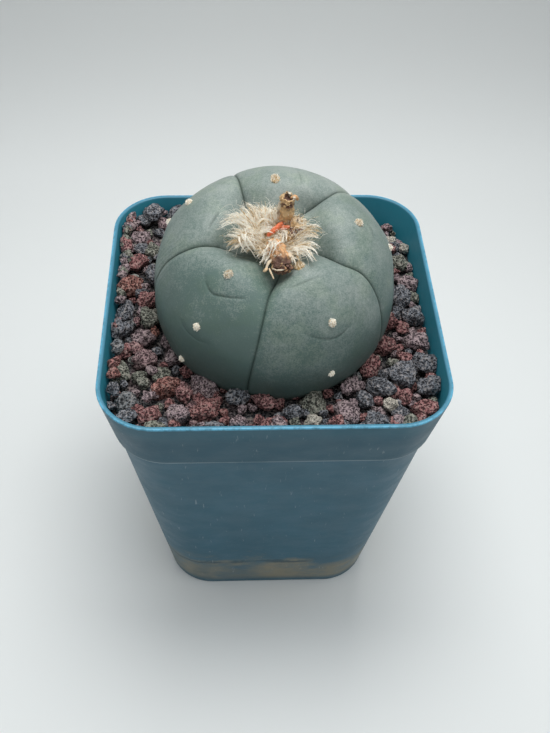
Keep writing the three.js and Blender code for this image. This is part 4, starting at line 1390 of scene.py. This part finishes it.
def fruit_shape():
    """The withered fruit that stands up: a crumpled barrel under a collar and a small torn cup, with a
    reddish flap that curls to the right, a pale papery strip up its left side, and shreds round the
    cup. Each strip is its path, width, thickness, tone, seed and twist."""
    path = [
        (2.5, 4.2, 21.2), (2.4, 4.6, 23), (2.3, 4.9, 24.8), (2.4, 5.2, 26.7), (2.4, 5.6, 28.4),
        (2.5, 5.9, 29.8), (2.6, 6, 31.3), (2.7, 6, 31.2), (2.7, 5.95, 30.7), (2.6, 5.9, 30.3),
    ]
    radii = [0.9, 1.3, 1.7, 1.8, 1.68, 1.55, 1.5, 1.15, 0.9, 0.3]
    tones = [1, 0.5, 0.1, 0, 0.1, 0.7, 0, 0.7, 0.9, 0.9]
    rings = 90
    axes = np.broadcast_to(unit(np.array([0, 0.19, 0.98])), (1, rings, 3))
    stalk = crumpled(path, radii, rings, 56, tones, pleat=0.24, crumb=0.3, seed=3, axes=axes)
    strips = [
        ([(3.3, 6.1, 30.9), (4.1, 6, 31.6), (4.7, 5.8, 31.3), (5, 5.6, 30.7)], 0.5, 0.2, 2, 4, 0.6),
        ([(0.7, 4, 25.8), (0.6, 4.5, 27.4), (0.8, 5.1, 29), (1.3, 5.7, 30.6)], 0.7, 0.14, 3, 5, 0.5),
        ([(1.3, 5.8, 30.3), (1.1, 6, 31.2), (1.7, 6.2, 31.7)], 0.65, 0.16, 0.2, 6, 0.3),
        ([(3.2, 7, 30.2), (3.2, 7.1, 31.1), (2.7, 7, 31.5)], 0.65, 0.16, 2.8, 7, 0.4),
        ([(2.6, 4.5, 30.1), (2.4, 4.3, 30.8), (2.1, 4.4, 31.2)], 0.6, 0.15, 0.3, 8, -0.3),
    ]
    rng = np.random.default_rng(seed=15)
    count = 40
    turn = rng.uniform(0, 2 * np.pi, count)
    level = rng.uniform(28.6, 31.5, count)
    middles = np.stack([2.5 + 1.6 * np.cos(turn), 5.8 + 1.6 * np.sin(turn), level], -1)
    bits = crumbs(middles, rng.uniform(0.2, 0.42, count), rng.choice([0, 0.3, 1, 2.8], count), seed=16)
    return gather([stalk, *(ribbon(*strip) for strip in strips), bits])


def ripe_shape():
    """The ripe fruit that shows in the wool: a wrinkled spindle with a smaller lobe to the right."""
    path = [(-2.3, 0.3, 23.6), (-1.1, 1, 24.3), (0.3, 2, 24.9), (1.5, 2.9, 25.1)]
    spindle = crumpled(path, [0.3, 0.5, 0.68, 0.5], 44, 28, 0, pleat=0.12, crumb=0.14, seed=21)
    path = [(0.7, 2, 24.5), (2.1, 1.9, 24.9), (3.5, 1.8, 25)]
    lobe = crumpled(path, [0.4, 0.5, 0.25], 24, 20, 0, pleat=0.1, crumb=0.12, seed=23)
    return {**gather([spindle, lobe]), "values": {}}


def front_flower_shape():
    """The spent flower over the crown's lip: a pleated tan tube, a thin pale skin round its end, a
    dark heap of crumbled petals there, and pale shreds that hang to the left. Each strip is its path,
    width, thickness, tone, seed and twist."""
    path = [(-0.9, -3.4, 24.6), (-0.9, -4.8, 25.8), (-0.4, -6.4, 26.6), (0.1, -8, 26.9), (0.5, -9.6, 26.9)]
    path += [(0.7, -10.8, 26.6)]
    radii, tones = [1.1, 1.8, 2, 1.95, 2, 1.4], [0.1, 0, 0.1, 0.15, 0.5, 1.2]
    tube = crumpled(path, radii, 84, 60, tones, pleat=0.36, crumb=0.3, seed=31)
    strips = [
        ([(-1.6, -8.8, 27.8), (0, -9.3, 28.8), (2, -8.8, 28.2)], 0.4, 0.12, 2.9, 30, 0.5),
        ([(-1.4, -5.4, 27), (-1.2, -6.9, 28), (-0.9, -8.2, 28.3)], 0.45, 0.14, 2.8, 38, 0.6),
        ([(0.6, -4.8, 27.2), (0.9, -6.2, 28), (1.2, -7.6, 28.4)], 0.4, 0.14, 1.9, 39, -0.4),
        (
            [(-1.4, -9.2, 27.4), (-2.3, -10.6, 27.8), (-2.9, -11.8, 27.6), (-3.1, -12.6, 27.2)],
            0.42, 0.18, 2.6, 32, 0.9,
        ),
        ([(-2.8, -12.2, 27.5), (-3.2, -12.8, 27.6), (-3.6, -13, 27.2)], 0.4, 0.26, 2.4, 34, 0.4),
        (
            [(-2.3, -12.3, 27.5), (-2, -13.4, 27.6), (-1.6, -14.4, 27.4), (-1.3, -15, 27.1)],
            0.26, 0.17, 2.5, 33, -0.6,
        ),
        ([(-1.6, -12.2, 27.2), (-0.2, -12.6, 27.2), (1.2, -12.5, 27.3)], 0.22, 0.14, 2.7, 36, 0.2),
        ([(1.4, -9.8, 27.4), (2.2, -10.6, 27.9), (2.7, -11.2, 28)], 0.6, 0.18, 1.2, 35, 0.5),
        ([(1.9, -7.8, 27.2), (2.6, -8.6, 28), (2.8, -9.6, 28.2)], 0.5, 0.16, 2.6, 37, 0.6),
    ]
    rng = np.random.default_rng(seed=41)
    count = 260
    ray = unit(rng.normal(size=(count, 3))) * rng.uniform(0.5, 1, (count, 1)) ** 0.5
    middles = np.array([0.8, -11.2, 26.4]) + ray * [2.5, 1.4, 1.6]
    sizes = rng.uniform(0.22, 0.55, count)
    tones = rng.choice([0.5, 0.9, 1, 1.3, 2.2], count, p=[0.15, 0.25, 0.3, 0.2, 0.1])
    bits = crumbs(middles, sizes, tones, seed=42)
    return gather([tube, *(ribbon(*strip) for strip in strips), bits])


def back_flower_shape():
    """The smaller spent flower beside the ripe fruit: a pale crumbly head behind, a brown fibrous
    bunch in front of it, and petals, each given by its path, width, thickness, tone, seed and twist."""
    path = [(4.6, 1.4, 22.8), (5.1, 2, 24.4), (5.4, 2.6, 25.6), (5.8, 2.9, 26.4)]
    tones = [0.9, 1.2, 2, 2.6]
    tube = crumpled(path, [1, 1.6, 1.75, 1.1], 44, 44, tones, pleat=0.2, crumb=0.3, seed=51)
    path, tones = [(5, 1.8, 24.4), (4, 0.2, 24.6), (2.9, -1.3, 24)], [1.6, 1.2, 1.8]
    bunch = crumpled(path, [0.9, 1.1, 0.7], 36, 36, tones, pleat=0.3, crumb=0.26, seed=57)
    petals = [
        ([(5.4, 2.2, 25), (6.6, 2.5, 26.2), (7, 3, 26.8)], 0.7, 0.15, 2.7, 52, 0.5),
        ([(5, 1.6, 24.8), (5.4, 0.4, 26), (6, -0.2, 26.6)], 0.7, 0.15, 1.2, 53, -0.4),
        ([(4.2, 1.2, 24.6), (3.6, -0.4, 25.6), (3.6, -1.4, 25.4)], 0.5, 0.15, 2.6, 54, 0.4),
    ]
    rng = np.random.default_rng(seed=55)
    count = 110
    along = spline([(3, -1.2, 24.2), (4, 0.2, 24.8), (5, 1.8, 25), (5.7, 2.8, 26)], rng.uniform(0, 1, count))
    ray = unit(rng.normal(size=(count, 3)))
    middles = along + ray * rng.uniform(0.8, 1.6, (count, 1))
    sizes = rng.uniform(0.18, 0.45, count)
    bits = crumbs(middles, sizes, rng.choice([0.9, 1.9, 2.4, 2.9], count), seed=56)
    return gather([tube, bunch, *(ribbon(*petal) for petal in petals), bits])


# The top dressing


def gravel_rise(rim, x, y):
    """How much higher the gravel lies than in the middle, by the square of the way to the two back
    corners: up on the left, down on the right."""
    back_left = np.maximum(0, (y - x) / rim) ** 2
    back_right = np.maximum(0, (y + x) / rim) ** 2
    return BACK_LEFT_RISE * back_left - BACK_RIGHT_DIP * back_right


def beside_plant(plant, pot, x, y, level):
    """How far a point at a level stands clear of the plant's flank."""
    cos, sin = math.cos(plant.lean), math.sin(plant.lean)
    high = level - (pot.height + plant.above_rim) / MM
    along = (y - PLANT_Y) * cos + high * sin
    depth = (y - PLANT_Y) * sin - high * cos
    return np.hypot(x - PLANT_X, along) - flank_radius(plant, depth)


def stone_places(plant, pot, gravel):
    """The stones' places by the same throws as in the CAD source: the pale ones, then the lava from
    large to small, each kept if it finds room. Rows of x, y, z, radius, shade and seed."""
    draw = draws(seed=2024)
    sizes = pot_sizes(pot)
    rim = pot.rim_side / MM
    half = float(sizes["outside_half"](np.array(STONE_MIDDLE))) - sizes["wall"]
    corner = POT_RIM_CORNER - sizes["wall"]
    largest, smallest = gravel.largest / MM, gravel.smallest / MM
    rows = []
    for number, (x, y) in enumerate(PALE_SPOTS):
        rows.append((x, y, STONE_MIDDLE + gravel_rise(rim, x, y), PALE_RADIUS, 0, number))
    placed = np.zeros((len(rows) + STONE_TRIES, 3))
    placed[: len(rows)] = [(row[0], row[1], row[3]) for row in rows]
    for number in range(STONE_TRIES):
        x = lerp(-half, half, next(draw))
        y = lerp(-half, half, next(draw))
        usual = lerp(largest, smallest, (number / STONE_TRIES) ** 0.6)
        radius = usual * lerp(0.85, 1.1, next(draw))
        others = placed[: len(rows)]
        if np.any(np.hypot(others[:, 0] - x, others[:, 1] - y) <= STONE_PACKING * (others[:, 2] + radius)):
            continue
        room = half - 0.5 * radius
        past = math.hypot(max(0, abs(x) - room + corner), max(0, abs(y) - room + corner))
        if max(abs(x), abs(y)) >= room or past >= corner or beside_plant(plant, pot, x, y, STONE_MIDDLE) <= 0:
            continue
        z = STONE_MIDDLE + gravel_rise(rim, x, y) + HEIGHT_SPREAD * (2 * next(draw) - 1)
        shade = next(draw)
        placed[len(rows)] = (x, y, radius)
        rows.append((x, y, z, radius, shade, math.floor(next(draw) * 100000)))
    return np.array(rows)


def filler_places(plant, pot, above, below, sizes, tries, seed):
    """Smaller stones that lie under and between the ones above, thrown in the same way, with radii
    between two sizes. With below under 0 they lie higher instead, against the left and front walls."""
    rng = np.random.default_rng(seed)
    rim = pot.rim_side / MM
    half = rim / 2 - CHIP_INSET
    rows, placed = [], np.zeros((tries, 3))
    for number in range(tries):
        x, y = rng.uniform(-half, half, 2)
        radius = rng.uniform(*sizes)
        others = placed[: len(rows)]
        in_corner = math.hypot(max(0, abs(x) - CHIP_CORE), max(0, abs(y) - CHIP_CORE)) > CHIP_CORNER
        if in_corner or beside_plant(plant, pot, x, y, STONE_MIDDLE) < -1.5:
            continue
        if np.any(np.hypot(above[:, 0] - x, above[:, 1] - y) <= CHIP_UNDER_STONE * (above[:, 3] + radius)):
            continue
        if np.any(np.hypot(others[:, 0] - x, others[:, 1] - y) <= CHIP_PACKING * (others[:, 2] + radius)):
            continue
        if below < 0:
            x, y = (-half + 0.6 * radius, y) if x < y else (x, -half + 0.6 * radius)
        z = STONE_MIDDLE + gravel_rise(rim, x, y) - below + rng.uniform(-0.6, 0.6)
        z = min(z, pot.height / MM - TOP_BELOW_RIM - radius)
        placed[len(rows)] = (x, y, radius)
        rows.append((x, y, z, radius, rng.uniform(), number + seed * 1000))
    return np.array(rows)


def stone_corners(rows):
    """The dozen corners of each stone, round its middle: an icosahedron, turned and squashed, with
    each corner pushed in or out by a draw."""
    golden = (1 + math.sqrt(5)) / 2
    corners = [(-1, golden, 0), (1, golden, 0), (-1, -golden, 0), (1, -golden, 0)]
    corners += [(z, x, y) for x, y, z in corners] + [(y, z, x) for x, y, z in corners]
    blank = unit(np.array(corners, float))[STONE_CORNER_ORDER]
    made = []
    for row in rows:
        draw = draws(int(row[5]))
        squash = [lerp(low, high, next(draw)) for low, high in ((0.85, 1.2), (0.85, 1.2), (0.75, 1))]
        a, b, c = (next(draw) * math.pi for _ in range(3))
        spin = Matrix.Rotation(a, 3, "X") @ Matrix.Rotation(b, 3, "Y") @ Matrix.Rotation(c, 3, "Z")
        out = np.array([row[3] * lerp(0.84, 1.12, next(draw)) for _ in range(12)])
        made.append(blank @ np.array(spin).T * squash * out[:, None])
    return np.array(made)


def stones_shape(rows, rings, sides, tones):
    """Rough stones. Along each ray from a stone's middle its flat faces, and a few more where it broke,
    are met at their plane's height over the ray's share of their normal; a high power mean of these
    rounds the edges. Noise and pits then roughen the skin."""
    corners = stone_corners(rows)
    a, b, c = (corners[:, STONE_FACES[:, i]] for i in range(3))
    normal = unit(np.cross(b - a, c - a))
    height = np.sum(normal * a, -1)
    normal, height = normal * np.sign(height)[..., None], np.maximum(np.abs(height), 0.3)
    rng = np.random.default_rng(len(rows))
    lie = rng.uniform(0, np.pi, (len(rows), 1))
    long_way = normal[..., 0] * np.cos(lie) + normal[..., 1] * np.sin(lie)
    height = height * rng.uniform(0.78, 1.2, height.shape) * (0.88 + 0.45 * long_way**2)
    rays = np.concatenate([[(0, 0, -1)], ball_rays(rings, sides, 0.75).reshape(-1, 3), [(0, 0, 1)]])
    broken = unit(rng.normal(size=(len(rows), BROKEN_FACES, 3)))
    broken_height = rows[:, 3:4] * rng.uniform(0.42, 0.8, (len(rows), BROKEN_FACES))
    normal = np.concatenate([normal, broken], 1)
    height = np.concatenate([height, broken_height], 1)
    meet = np.maximum(np.einsum("vk,bfk->bvf", rays, normal), 0) / height[:, None]
    reach = STONE_GROWN * np.sum(meet**STONE_EDGE, -1) ** (-1 / STONE_EDGE)
    middle = rows[:, None, :3]
    points = middle + rays * reach[..., None]
    pit = pits(points, 1.1, 8)
    rough = layered_noise(points, (0.24, 2.2, 1), (0.3, 1.1, 2), (0.3, 0.6, 4)) - 0.4 * pit
    points = middle + rays * (reach + rough * np.minimum(1, rows[:, None, 3] / 2.6))[..., None]
    grid = points[:, 1:-1].reshape(len(rows), rings, sides, 3)
    shape = skin(grid, points[:, 0], points[:, -1])
    shape["values"] = {"tone": spread(tones, shape["each"]), "pit": pit.ravel()}
    return shape


def keep_in_pot(shape, pot):
    """Pulls points that would pass through the wall or over the rim back inside."""
    sizes = pot_sizes(pot)
    x, y, z = shape["points"].T
    z = np.minimum(z, sizes["height"] - TOP_BELOW_RIM)
    inset = sizes["wall"] + STONE_CLEAR
    half = sizes["outside_half"](z) - inset
    corner = sizes["corner"](z) - inset
    core = half - corner
    past_x, past_y = np.abs(x) - core, np.abs(y) - core
    over = np.maximum(np.hypot(np.maximum(past_x, 0), np.maximum(past_y, 0)) / corner, 1)
    x = np.where(past_x > 0, np.sign(x) * (core + past_x / over), x)
    y = np.where(past_y > 0, np.sign(y) * (core + past_y / over), y)
    shape["points"] = np.stack([x, y, z], -1)
    return shape


def grit_shape(pot):
    """Fine lava grit under the stones: a lumpy sheet from the plant's flank out to the wall, closed
    below. Rings go inwards underneath, and from just inside the flank outwards on top."""
    sizes = pot_sizes(pot)
    share = np.linspace(0, 1, GRIT_RINGS)[:, None, None]
    level = STONE_MIDDLE - GRIT_BELOW
    clear = sizes["wall"] + GRIT_CLEAR
    half = float(sizes["outside_half"](np.array(level))) - clear
    outer = square_rings(np.array([half]), np.array([POT_RIM_CORNER - clear]), np.array([level]))[0]
    azimuth = np.arctan2(outer[:, 1], outer[:, 0])
    inner_x = PLANT_X + GRIT_INNER * np.cos(azimuth)
    inner_y = PLANT_Y + 2 + GRIT_INNER * np.sin(azimuth)
    inner = np.stack([inner_x, inner_y, 0 * azimuth + level], -1)
    top = lerp(inner[None], outer[None], share)
    top[..., 2] = level + gravel_rise(pot.rim_side / MM, top[..., 0], top[..., 1])
    top[..., 2] += layered_noise(top, (0.7, 2.2, 61), (0.35, 0.9, 62))
    under = top.copy()
    under[..., 2] = SOIL_TOP + 0.4
    grid = np.concatenate([under, top[::-1]])
    rings, sides = grid.shape[:2]
    ring = np.arange(rings)[:, None] * sides
    following = (np.arange(rings)[:, None] + 1) % rings * sides
    side = np.arange(sides)
    after = (side + 1) % sides
    quads = np.stack([ring + side, ring + after, following + after, following + side], -1).reshape(-1, 4)
    points = grid.reshape(-1, 3)
    values = {"tone": 0.5 + 0.8 * noise(points, 3, 63), "pit": np.zeros(len(points))}
    return {"points": points, "quads": quads[:, ::-1], "triangles": np.zeros((0, 3), int), "values": values}


# The studio


def make_camera():
    """The camera at the photograph's place, angle and focal length."""
    azimuth, elevation, roll = (math.radians(a) for a in (CAMERA_AZIMUTH, CAMERA_ELEVATION, CAMERA_ROLL))
    level, rise = math.cos(elevation), math.sin(elevation)
    back = Vector((math.sin(azimuth) * level, -math.cos(azimuth) * level, rise))
    flat = Vector((math.cos(azimuth), math.sin(azimuth), 0))
    up = back.cross(flat)
    right = math.cos(roll) * flat + math.sin(roll) * up
    top = math.cos(roll) * up - math.sin(roll) * flat
    data = bpy.data.cameras.new("camera")
    data.sensor_width = SENSOR
    data.lens = FOCAL_PIXELS * SENSOR / FRAME_HEIGHT
    data.clip_start, data.clip_end = 0.01, 20
    camera = bpy.data.objects.new("camera", data)
    turn = Matrix((right, top, back)).transposed().to_4x4()
    camera.matrix_world = Matrix.Translation(Vector(CAMERA_PLACE) * MM) @ turn
    bpy.context.scene.collection.objects.link(camera)
    bpy.context.scene.camera = camera


def add_key_light(power):
    """A square soft box over the plant, turned to its aim."""
    data = bpy.data.lights.new("key", "AREA")
    data.size = KEY_SIDE * MM
    data.spread = math.radians(LIGHT_SPREAD)
    data.energy = power
    data.color = linear(KEY_TINT)
    light = bpy.data.objects.new("key", data)
    light.location = Vector(KEY_PLACE) * MM
    light.rotation_euler = (Vector(KEY_PLACE) - Vector(KEY_AIM)).to_track_quat("Z", "Y").to_euler()
    bpy.context.scene.collection.objects.link(light)


def light_world(studio):
    """Pale light from all round that grows towards a place overhead, behind on the right."""
    world = bpy.data.worlds.new("soft_room")
    world.use_nodes = True
    tree = world.node_tree
    tree.nodes.clear()
    way = add_node(tree, "TexCoord", {}, "Generated")
    facing = add_node(tree, "VectorMath", {0: way, 1: BRIGHT_SIDE}, "Value", operation="DOT_PRODUCT")
    strength = combine(tree, (facing, 0.2, 0.95, studio.fill, studio.fill + studio.over))
    shade = add_node(tree, "Background", {"Color": rgba(linear(ROOM_TINT)), "Strength": strength})
    end = tree.nodes.new("ShaderNodeOutputWorld")
    tree.links.new(shade, end.inputs["Surface"])
    bpy.context.scene.world = world


def make_floor(studio):
    """A sheet of card that lies flat and sweeps up behind the pot: its section is a straight run, a
    quarter turn and an upright run, carried sideways."""
    turn = np.linspace(0, np.pi / 2, 40)[1:]
    flat = np.linspace(-FLOOR_HALF, FLOOR_FLAT, 20)
    deep = np.concatenate([flat, FLOOR_FLAT + FLOOR_SWEEP * np.sin(turn), [FLOOR_FLAT + FLOOR_SWEEP]])
    high = np.concatenate([0 * flat, FLOOR_SWEEP * (1 - np.cos(turn)), [FLOOR_WALL]])
    wide = np.linspace(-FLOOR_HALF, FLOOR_HALF, 9)
    points = np.stack(np.broadcast_arrays(wide, deep[:, None], high[:, None]), -1).reshape(-1, 3)
    start = np.arange(len(deep) - 1)[:, None] * len(wide) + np.arange(len(wide) - 1)
    quads = np.stack([start, start + 1, start + len(wide) + 1, start + len(wide)], -1).reshape(-1, 4)
    mesh = bpy.data.meshes.new("studio_floor")
    mesh.from_pydata((points * MM).tolist(), [], quads.tolist())
    mesh.shade_smooth()
    mesh.materials.append(painted_floor(studio))
    floor = bpy.data.objects.new("studio_floor", mesh)
    bpy.context.scene.collection.objects.link(floor)


# Operators


class CACTUS_OT_studio(bpy.types.Operator):
    """Sets up the camera, the soft light and the pale floor"""

    bl_idname = "cactus.studio"
    bl_label = "Studio"

    def execute(self, context):
        studio = context.scene.cactus_studio
        make_camera()
        light_world(studio)
        add_key_light(studio.key)
        make_floor(studio)
        context.scene.view_settings.view_transform = "Standard"
        return {"FINISHED"}


class CACTUS_OT_pot(bpy.types.Operator):
    """Builds the moulded plastic pot with its drain holes, and finishes the mix in it"""

    bl_idname = "cactus.pot"
    bl_label = "Pot"

    def execute(self, context):
        pot = context.scene.cactus_pot
        piece = make_piece("nursery_pot", pot_shape(pot), polypropylene(pot), ["pot"])
        cut(piece, drill_shape())
        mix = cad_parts["potting_mix"]
        mix.data.materials.clear()
        mix.data.materials.append(potting_mix(context.scene.cactus_gravel))
        return {"FINISHED"}


class CACTUS_OT_gravel(bpy.types.Operator):
    """Throws the crushed lava and the pumice, with smaller stones and grit under them"""

    bl_idname = "cactus.gravel"
    bl_label = "Top dressing"

    def execute(self, context):
        scene = context.scene
        pot, plant, gravel = scene.cactus_pot, scene.cactus_plant, scene.cactus_gravel
        rows = stone_places(plant, pot, gravel)
        pale, lava = rows[: len(PALE_SPOTS)], rows[len(PALE_SPOTS) :]
        chips = filler_places(plant, pot, rows, 0.9, (1.3, 2.6), tries=7000, seed=3)
        heaped = filler_places(plant, pot, rows[:0], -2.3, (1.6, 2.4), tries=80, seed=5)
        chips = np.concatenate([chips, heaped])
        dark_rock = crushed_lava("charcoal_scoria", [gravel.olive, gravel.charcoal])
        red_rock = crushed_lava("rusted_scoria", [gravel.mauve, gravel.maroon, gravel.orange])
        pale_rock = crushed_lava("pale_pumice", [gravel.pumice, gravel.pumice], pore_shade=0.3)
        for stones, where, fineness in ((lava, "stones", STONE_GRID), (chips, "chips", CHIP_GRID)):
            is_dark = stones[:, 4] < DARK_SHARE
            dark, red = stones[is_dark], stones[~is_dark]
            red_share = (red[:, 4] - DARK_SHARE) / (1 - DARK_SHARE)
            batches = (
                ("dark_lava", dark, dark_rock, 1.6 * dark[:, 4] / DARK_SHARE),
                ("red_lava", red, red_rock, 1.8 * red_share - 0.3),
            )
            for slot, batch, rock, tones in batches:
                shape = keep_in_pot(stones_shape(batch, *fineness, tones), pot)
                make_piece(f"{slot}_{where}", shape, rock, [slot] if where == "stones" else [])
        shape = keep_in_pot(stones_shape(pale, *PUMICE_GRID, np.zeros(len(pale))), pot)
        nodes = [f"pumice_{number + 1}" for number in range(len(pale))]
        make_piece("pumice_stones", shape, pale_rock, nodes)
        # The grit is painted far darker than the stones, as the shade in the gaps between them.
        grit = crushed_lava("scoria_grit_painted_shade", [rgba(gravel.charcoal, 0.3)[:3], rgba(gravel.mauve, 0.4)[:3]])
        make_piece("lava_grit_painted_shade", grit_shape(pot), grit)
        return {"FINISHED"}


class CACTUS_OT_body(bpy.types.Operator):
    """Grows the ribbed body with its taproot, and the woolly tufts on its ribs"""

    bl_idname = "cactus.body"
    bl_label = "Body and areoles"

    def execute(self, context):
        scene = context.scene
        plant, wool = scene.cactus_plant, scene.cactus_wool
        rind = waxy_skin(plant, scene.cactus_pot.height)
        make_in_plant(scene, "ribbed_body", body_shape(plant), rind, ["cactus_body"])
        make_in_plant(scene, "areole_tufts", areole_shape(plant), felted_wool("areole_wool", wool))
        return {"FINISHED"}


class CACTUS_OT_wool(bpy.types.Operator):
    """Fills the crown with its cushion, locks and stray hairs of wool"""

    bl_idname = "cactus.wool"
    bl_label = "Crown wool"

    def execute(self, context):
        scene = context.scene
        plant, wool = scene.cactus_plant, scene.cactus_wool
        # The cushion's wool is painted at 0.7 of the colours, as painted shade under the locks.
        hair, core = felted_wool("crown_wool", wool), felted_wool("felted_core_painted_shade", wool, 0.7)
        make_in_plant(scene, "wool_locks", wool_shape(plant, wool), hair, ["crown_wool"])
        make_in_plant(scene, "wool_wisps", wisp_shape(plant, wool), hair)
        make_in_plant(scene, "wool_cushion", cushion_shape(plant), core)
        return {"FINISHED"}


class CACTUS_OT_dried(bpy.types.Operator):
    """Sets the withered fruit, the ripe fruit and the two spent flowers in the crown"""

    bl_idname = "cactus.dried"
    bl_label = "Fruit and flowers"

    def execute(self, context):
        scene = context.scene
        dried = scene.cactus_dried
        husk = withered("dry_fruit_wall", [dried.husk, dried.brown, dried.rust, dried.papery], 1.3)
        petal = withered("withered_petals", [dried.rust, dried.brown, dried.husk, dried.papery], 1.1)
        pieces = (
            ("withered_fruit", fruit_shape(), husk, "dried_fruit", "dried_fruit"),
            ("red_fruit", ripe_shape(), fruit_skin(dried), "ripe_fruit", "ripe_fruit"),
            ("front_flower", front_flower_shape(), petal, "spent_flower", "spent_flower_front"),
            ("back_flower", back_flower_shape(), petal, "spent_flower", "spent_flower_back"),
        )
        for name, shape, material, slot, node in pieces:
            make_in_plant(scene, name, shape, material, [node])
        return {"FINISHED"}


class CACTUS_PT_panel(bpy.types.Panel):
    """Lists the operators and the settings in the sidebar"""

    bl_label = "Potted cactus"
    bl_space_type = "VIEW_3D"
    bl_region_type = "UI"
    bl_category = "Cactus"

    def draw(self, context):
        for operator in OPERATORS:
            self.layout.operator(operator.bl_idname)
        for name, group in GROUPS.items():
            box = self.layout.box()
            for key in group.__annotations__:
                box.prop(getattr(context.scene, name), key)


GROUPS = {
    "cactus_pot": PotSettings,
    "cactus_plant": PlantSettings,
    "cactus_wool": WoolSettings,
    "cactus_dried": DriedSettings,
    "cactus_gravel": GravelSettings,
    "cactus_studio": StudioSettings,
}
OPERATORS = (
    CACTUS_OT_studio,
    CACTUS_OT_pot,
    CACTUS_OT_gravel,
    CACTUS_OT_body,
    CACTUS_OT_wool,
    CACTUS_OT_dried,
)


def register():
    for group in (*GROUPS.values(), *OPERATORS, CACTUS_PT_panel):
        bpy.utils.register_class(group)
    for name, group in GROUPS.items():
        setattr(bpy.types.Scene, name, bpy.props.PointerProperty(type=group))


def unregister():
    for name in GROUPS:
        delattr(bpy.types.Scene, name)
    for group in reversed((*GROUPS.values(), *OPERATORS, CACTUS_PT_panel)):
        bpy.utils.unregister_class(group)


def main():
    register()
    bpy.ops.cactus.studio()
    bpy.ops.cactus.pot()
    bpy.ops.cactus.gravel()
    bpy.ops.cactus.body()
    bpy.ops.cactus.wool()
    bpy.ops.cactus.dried()


if __name__ == "__main__":
    main()
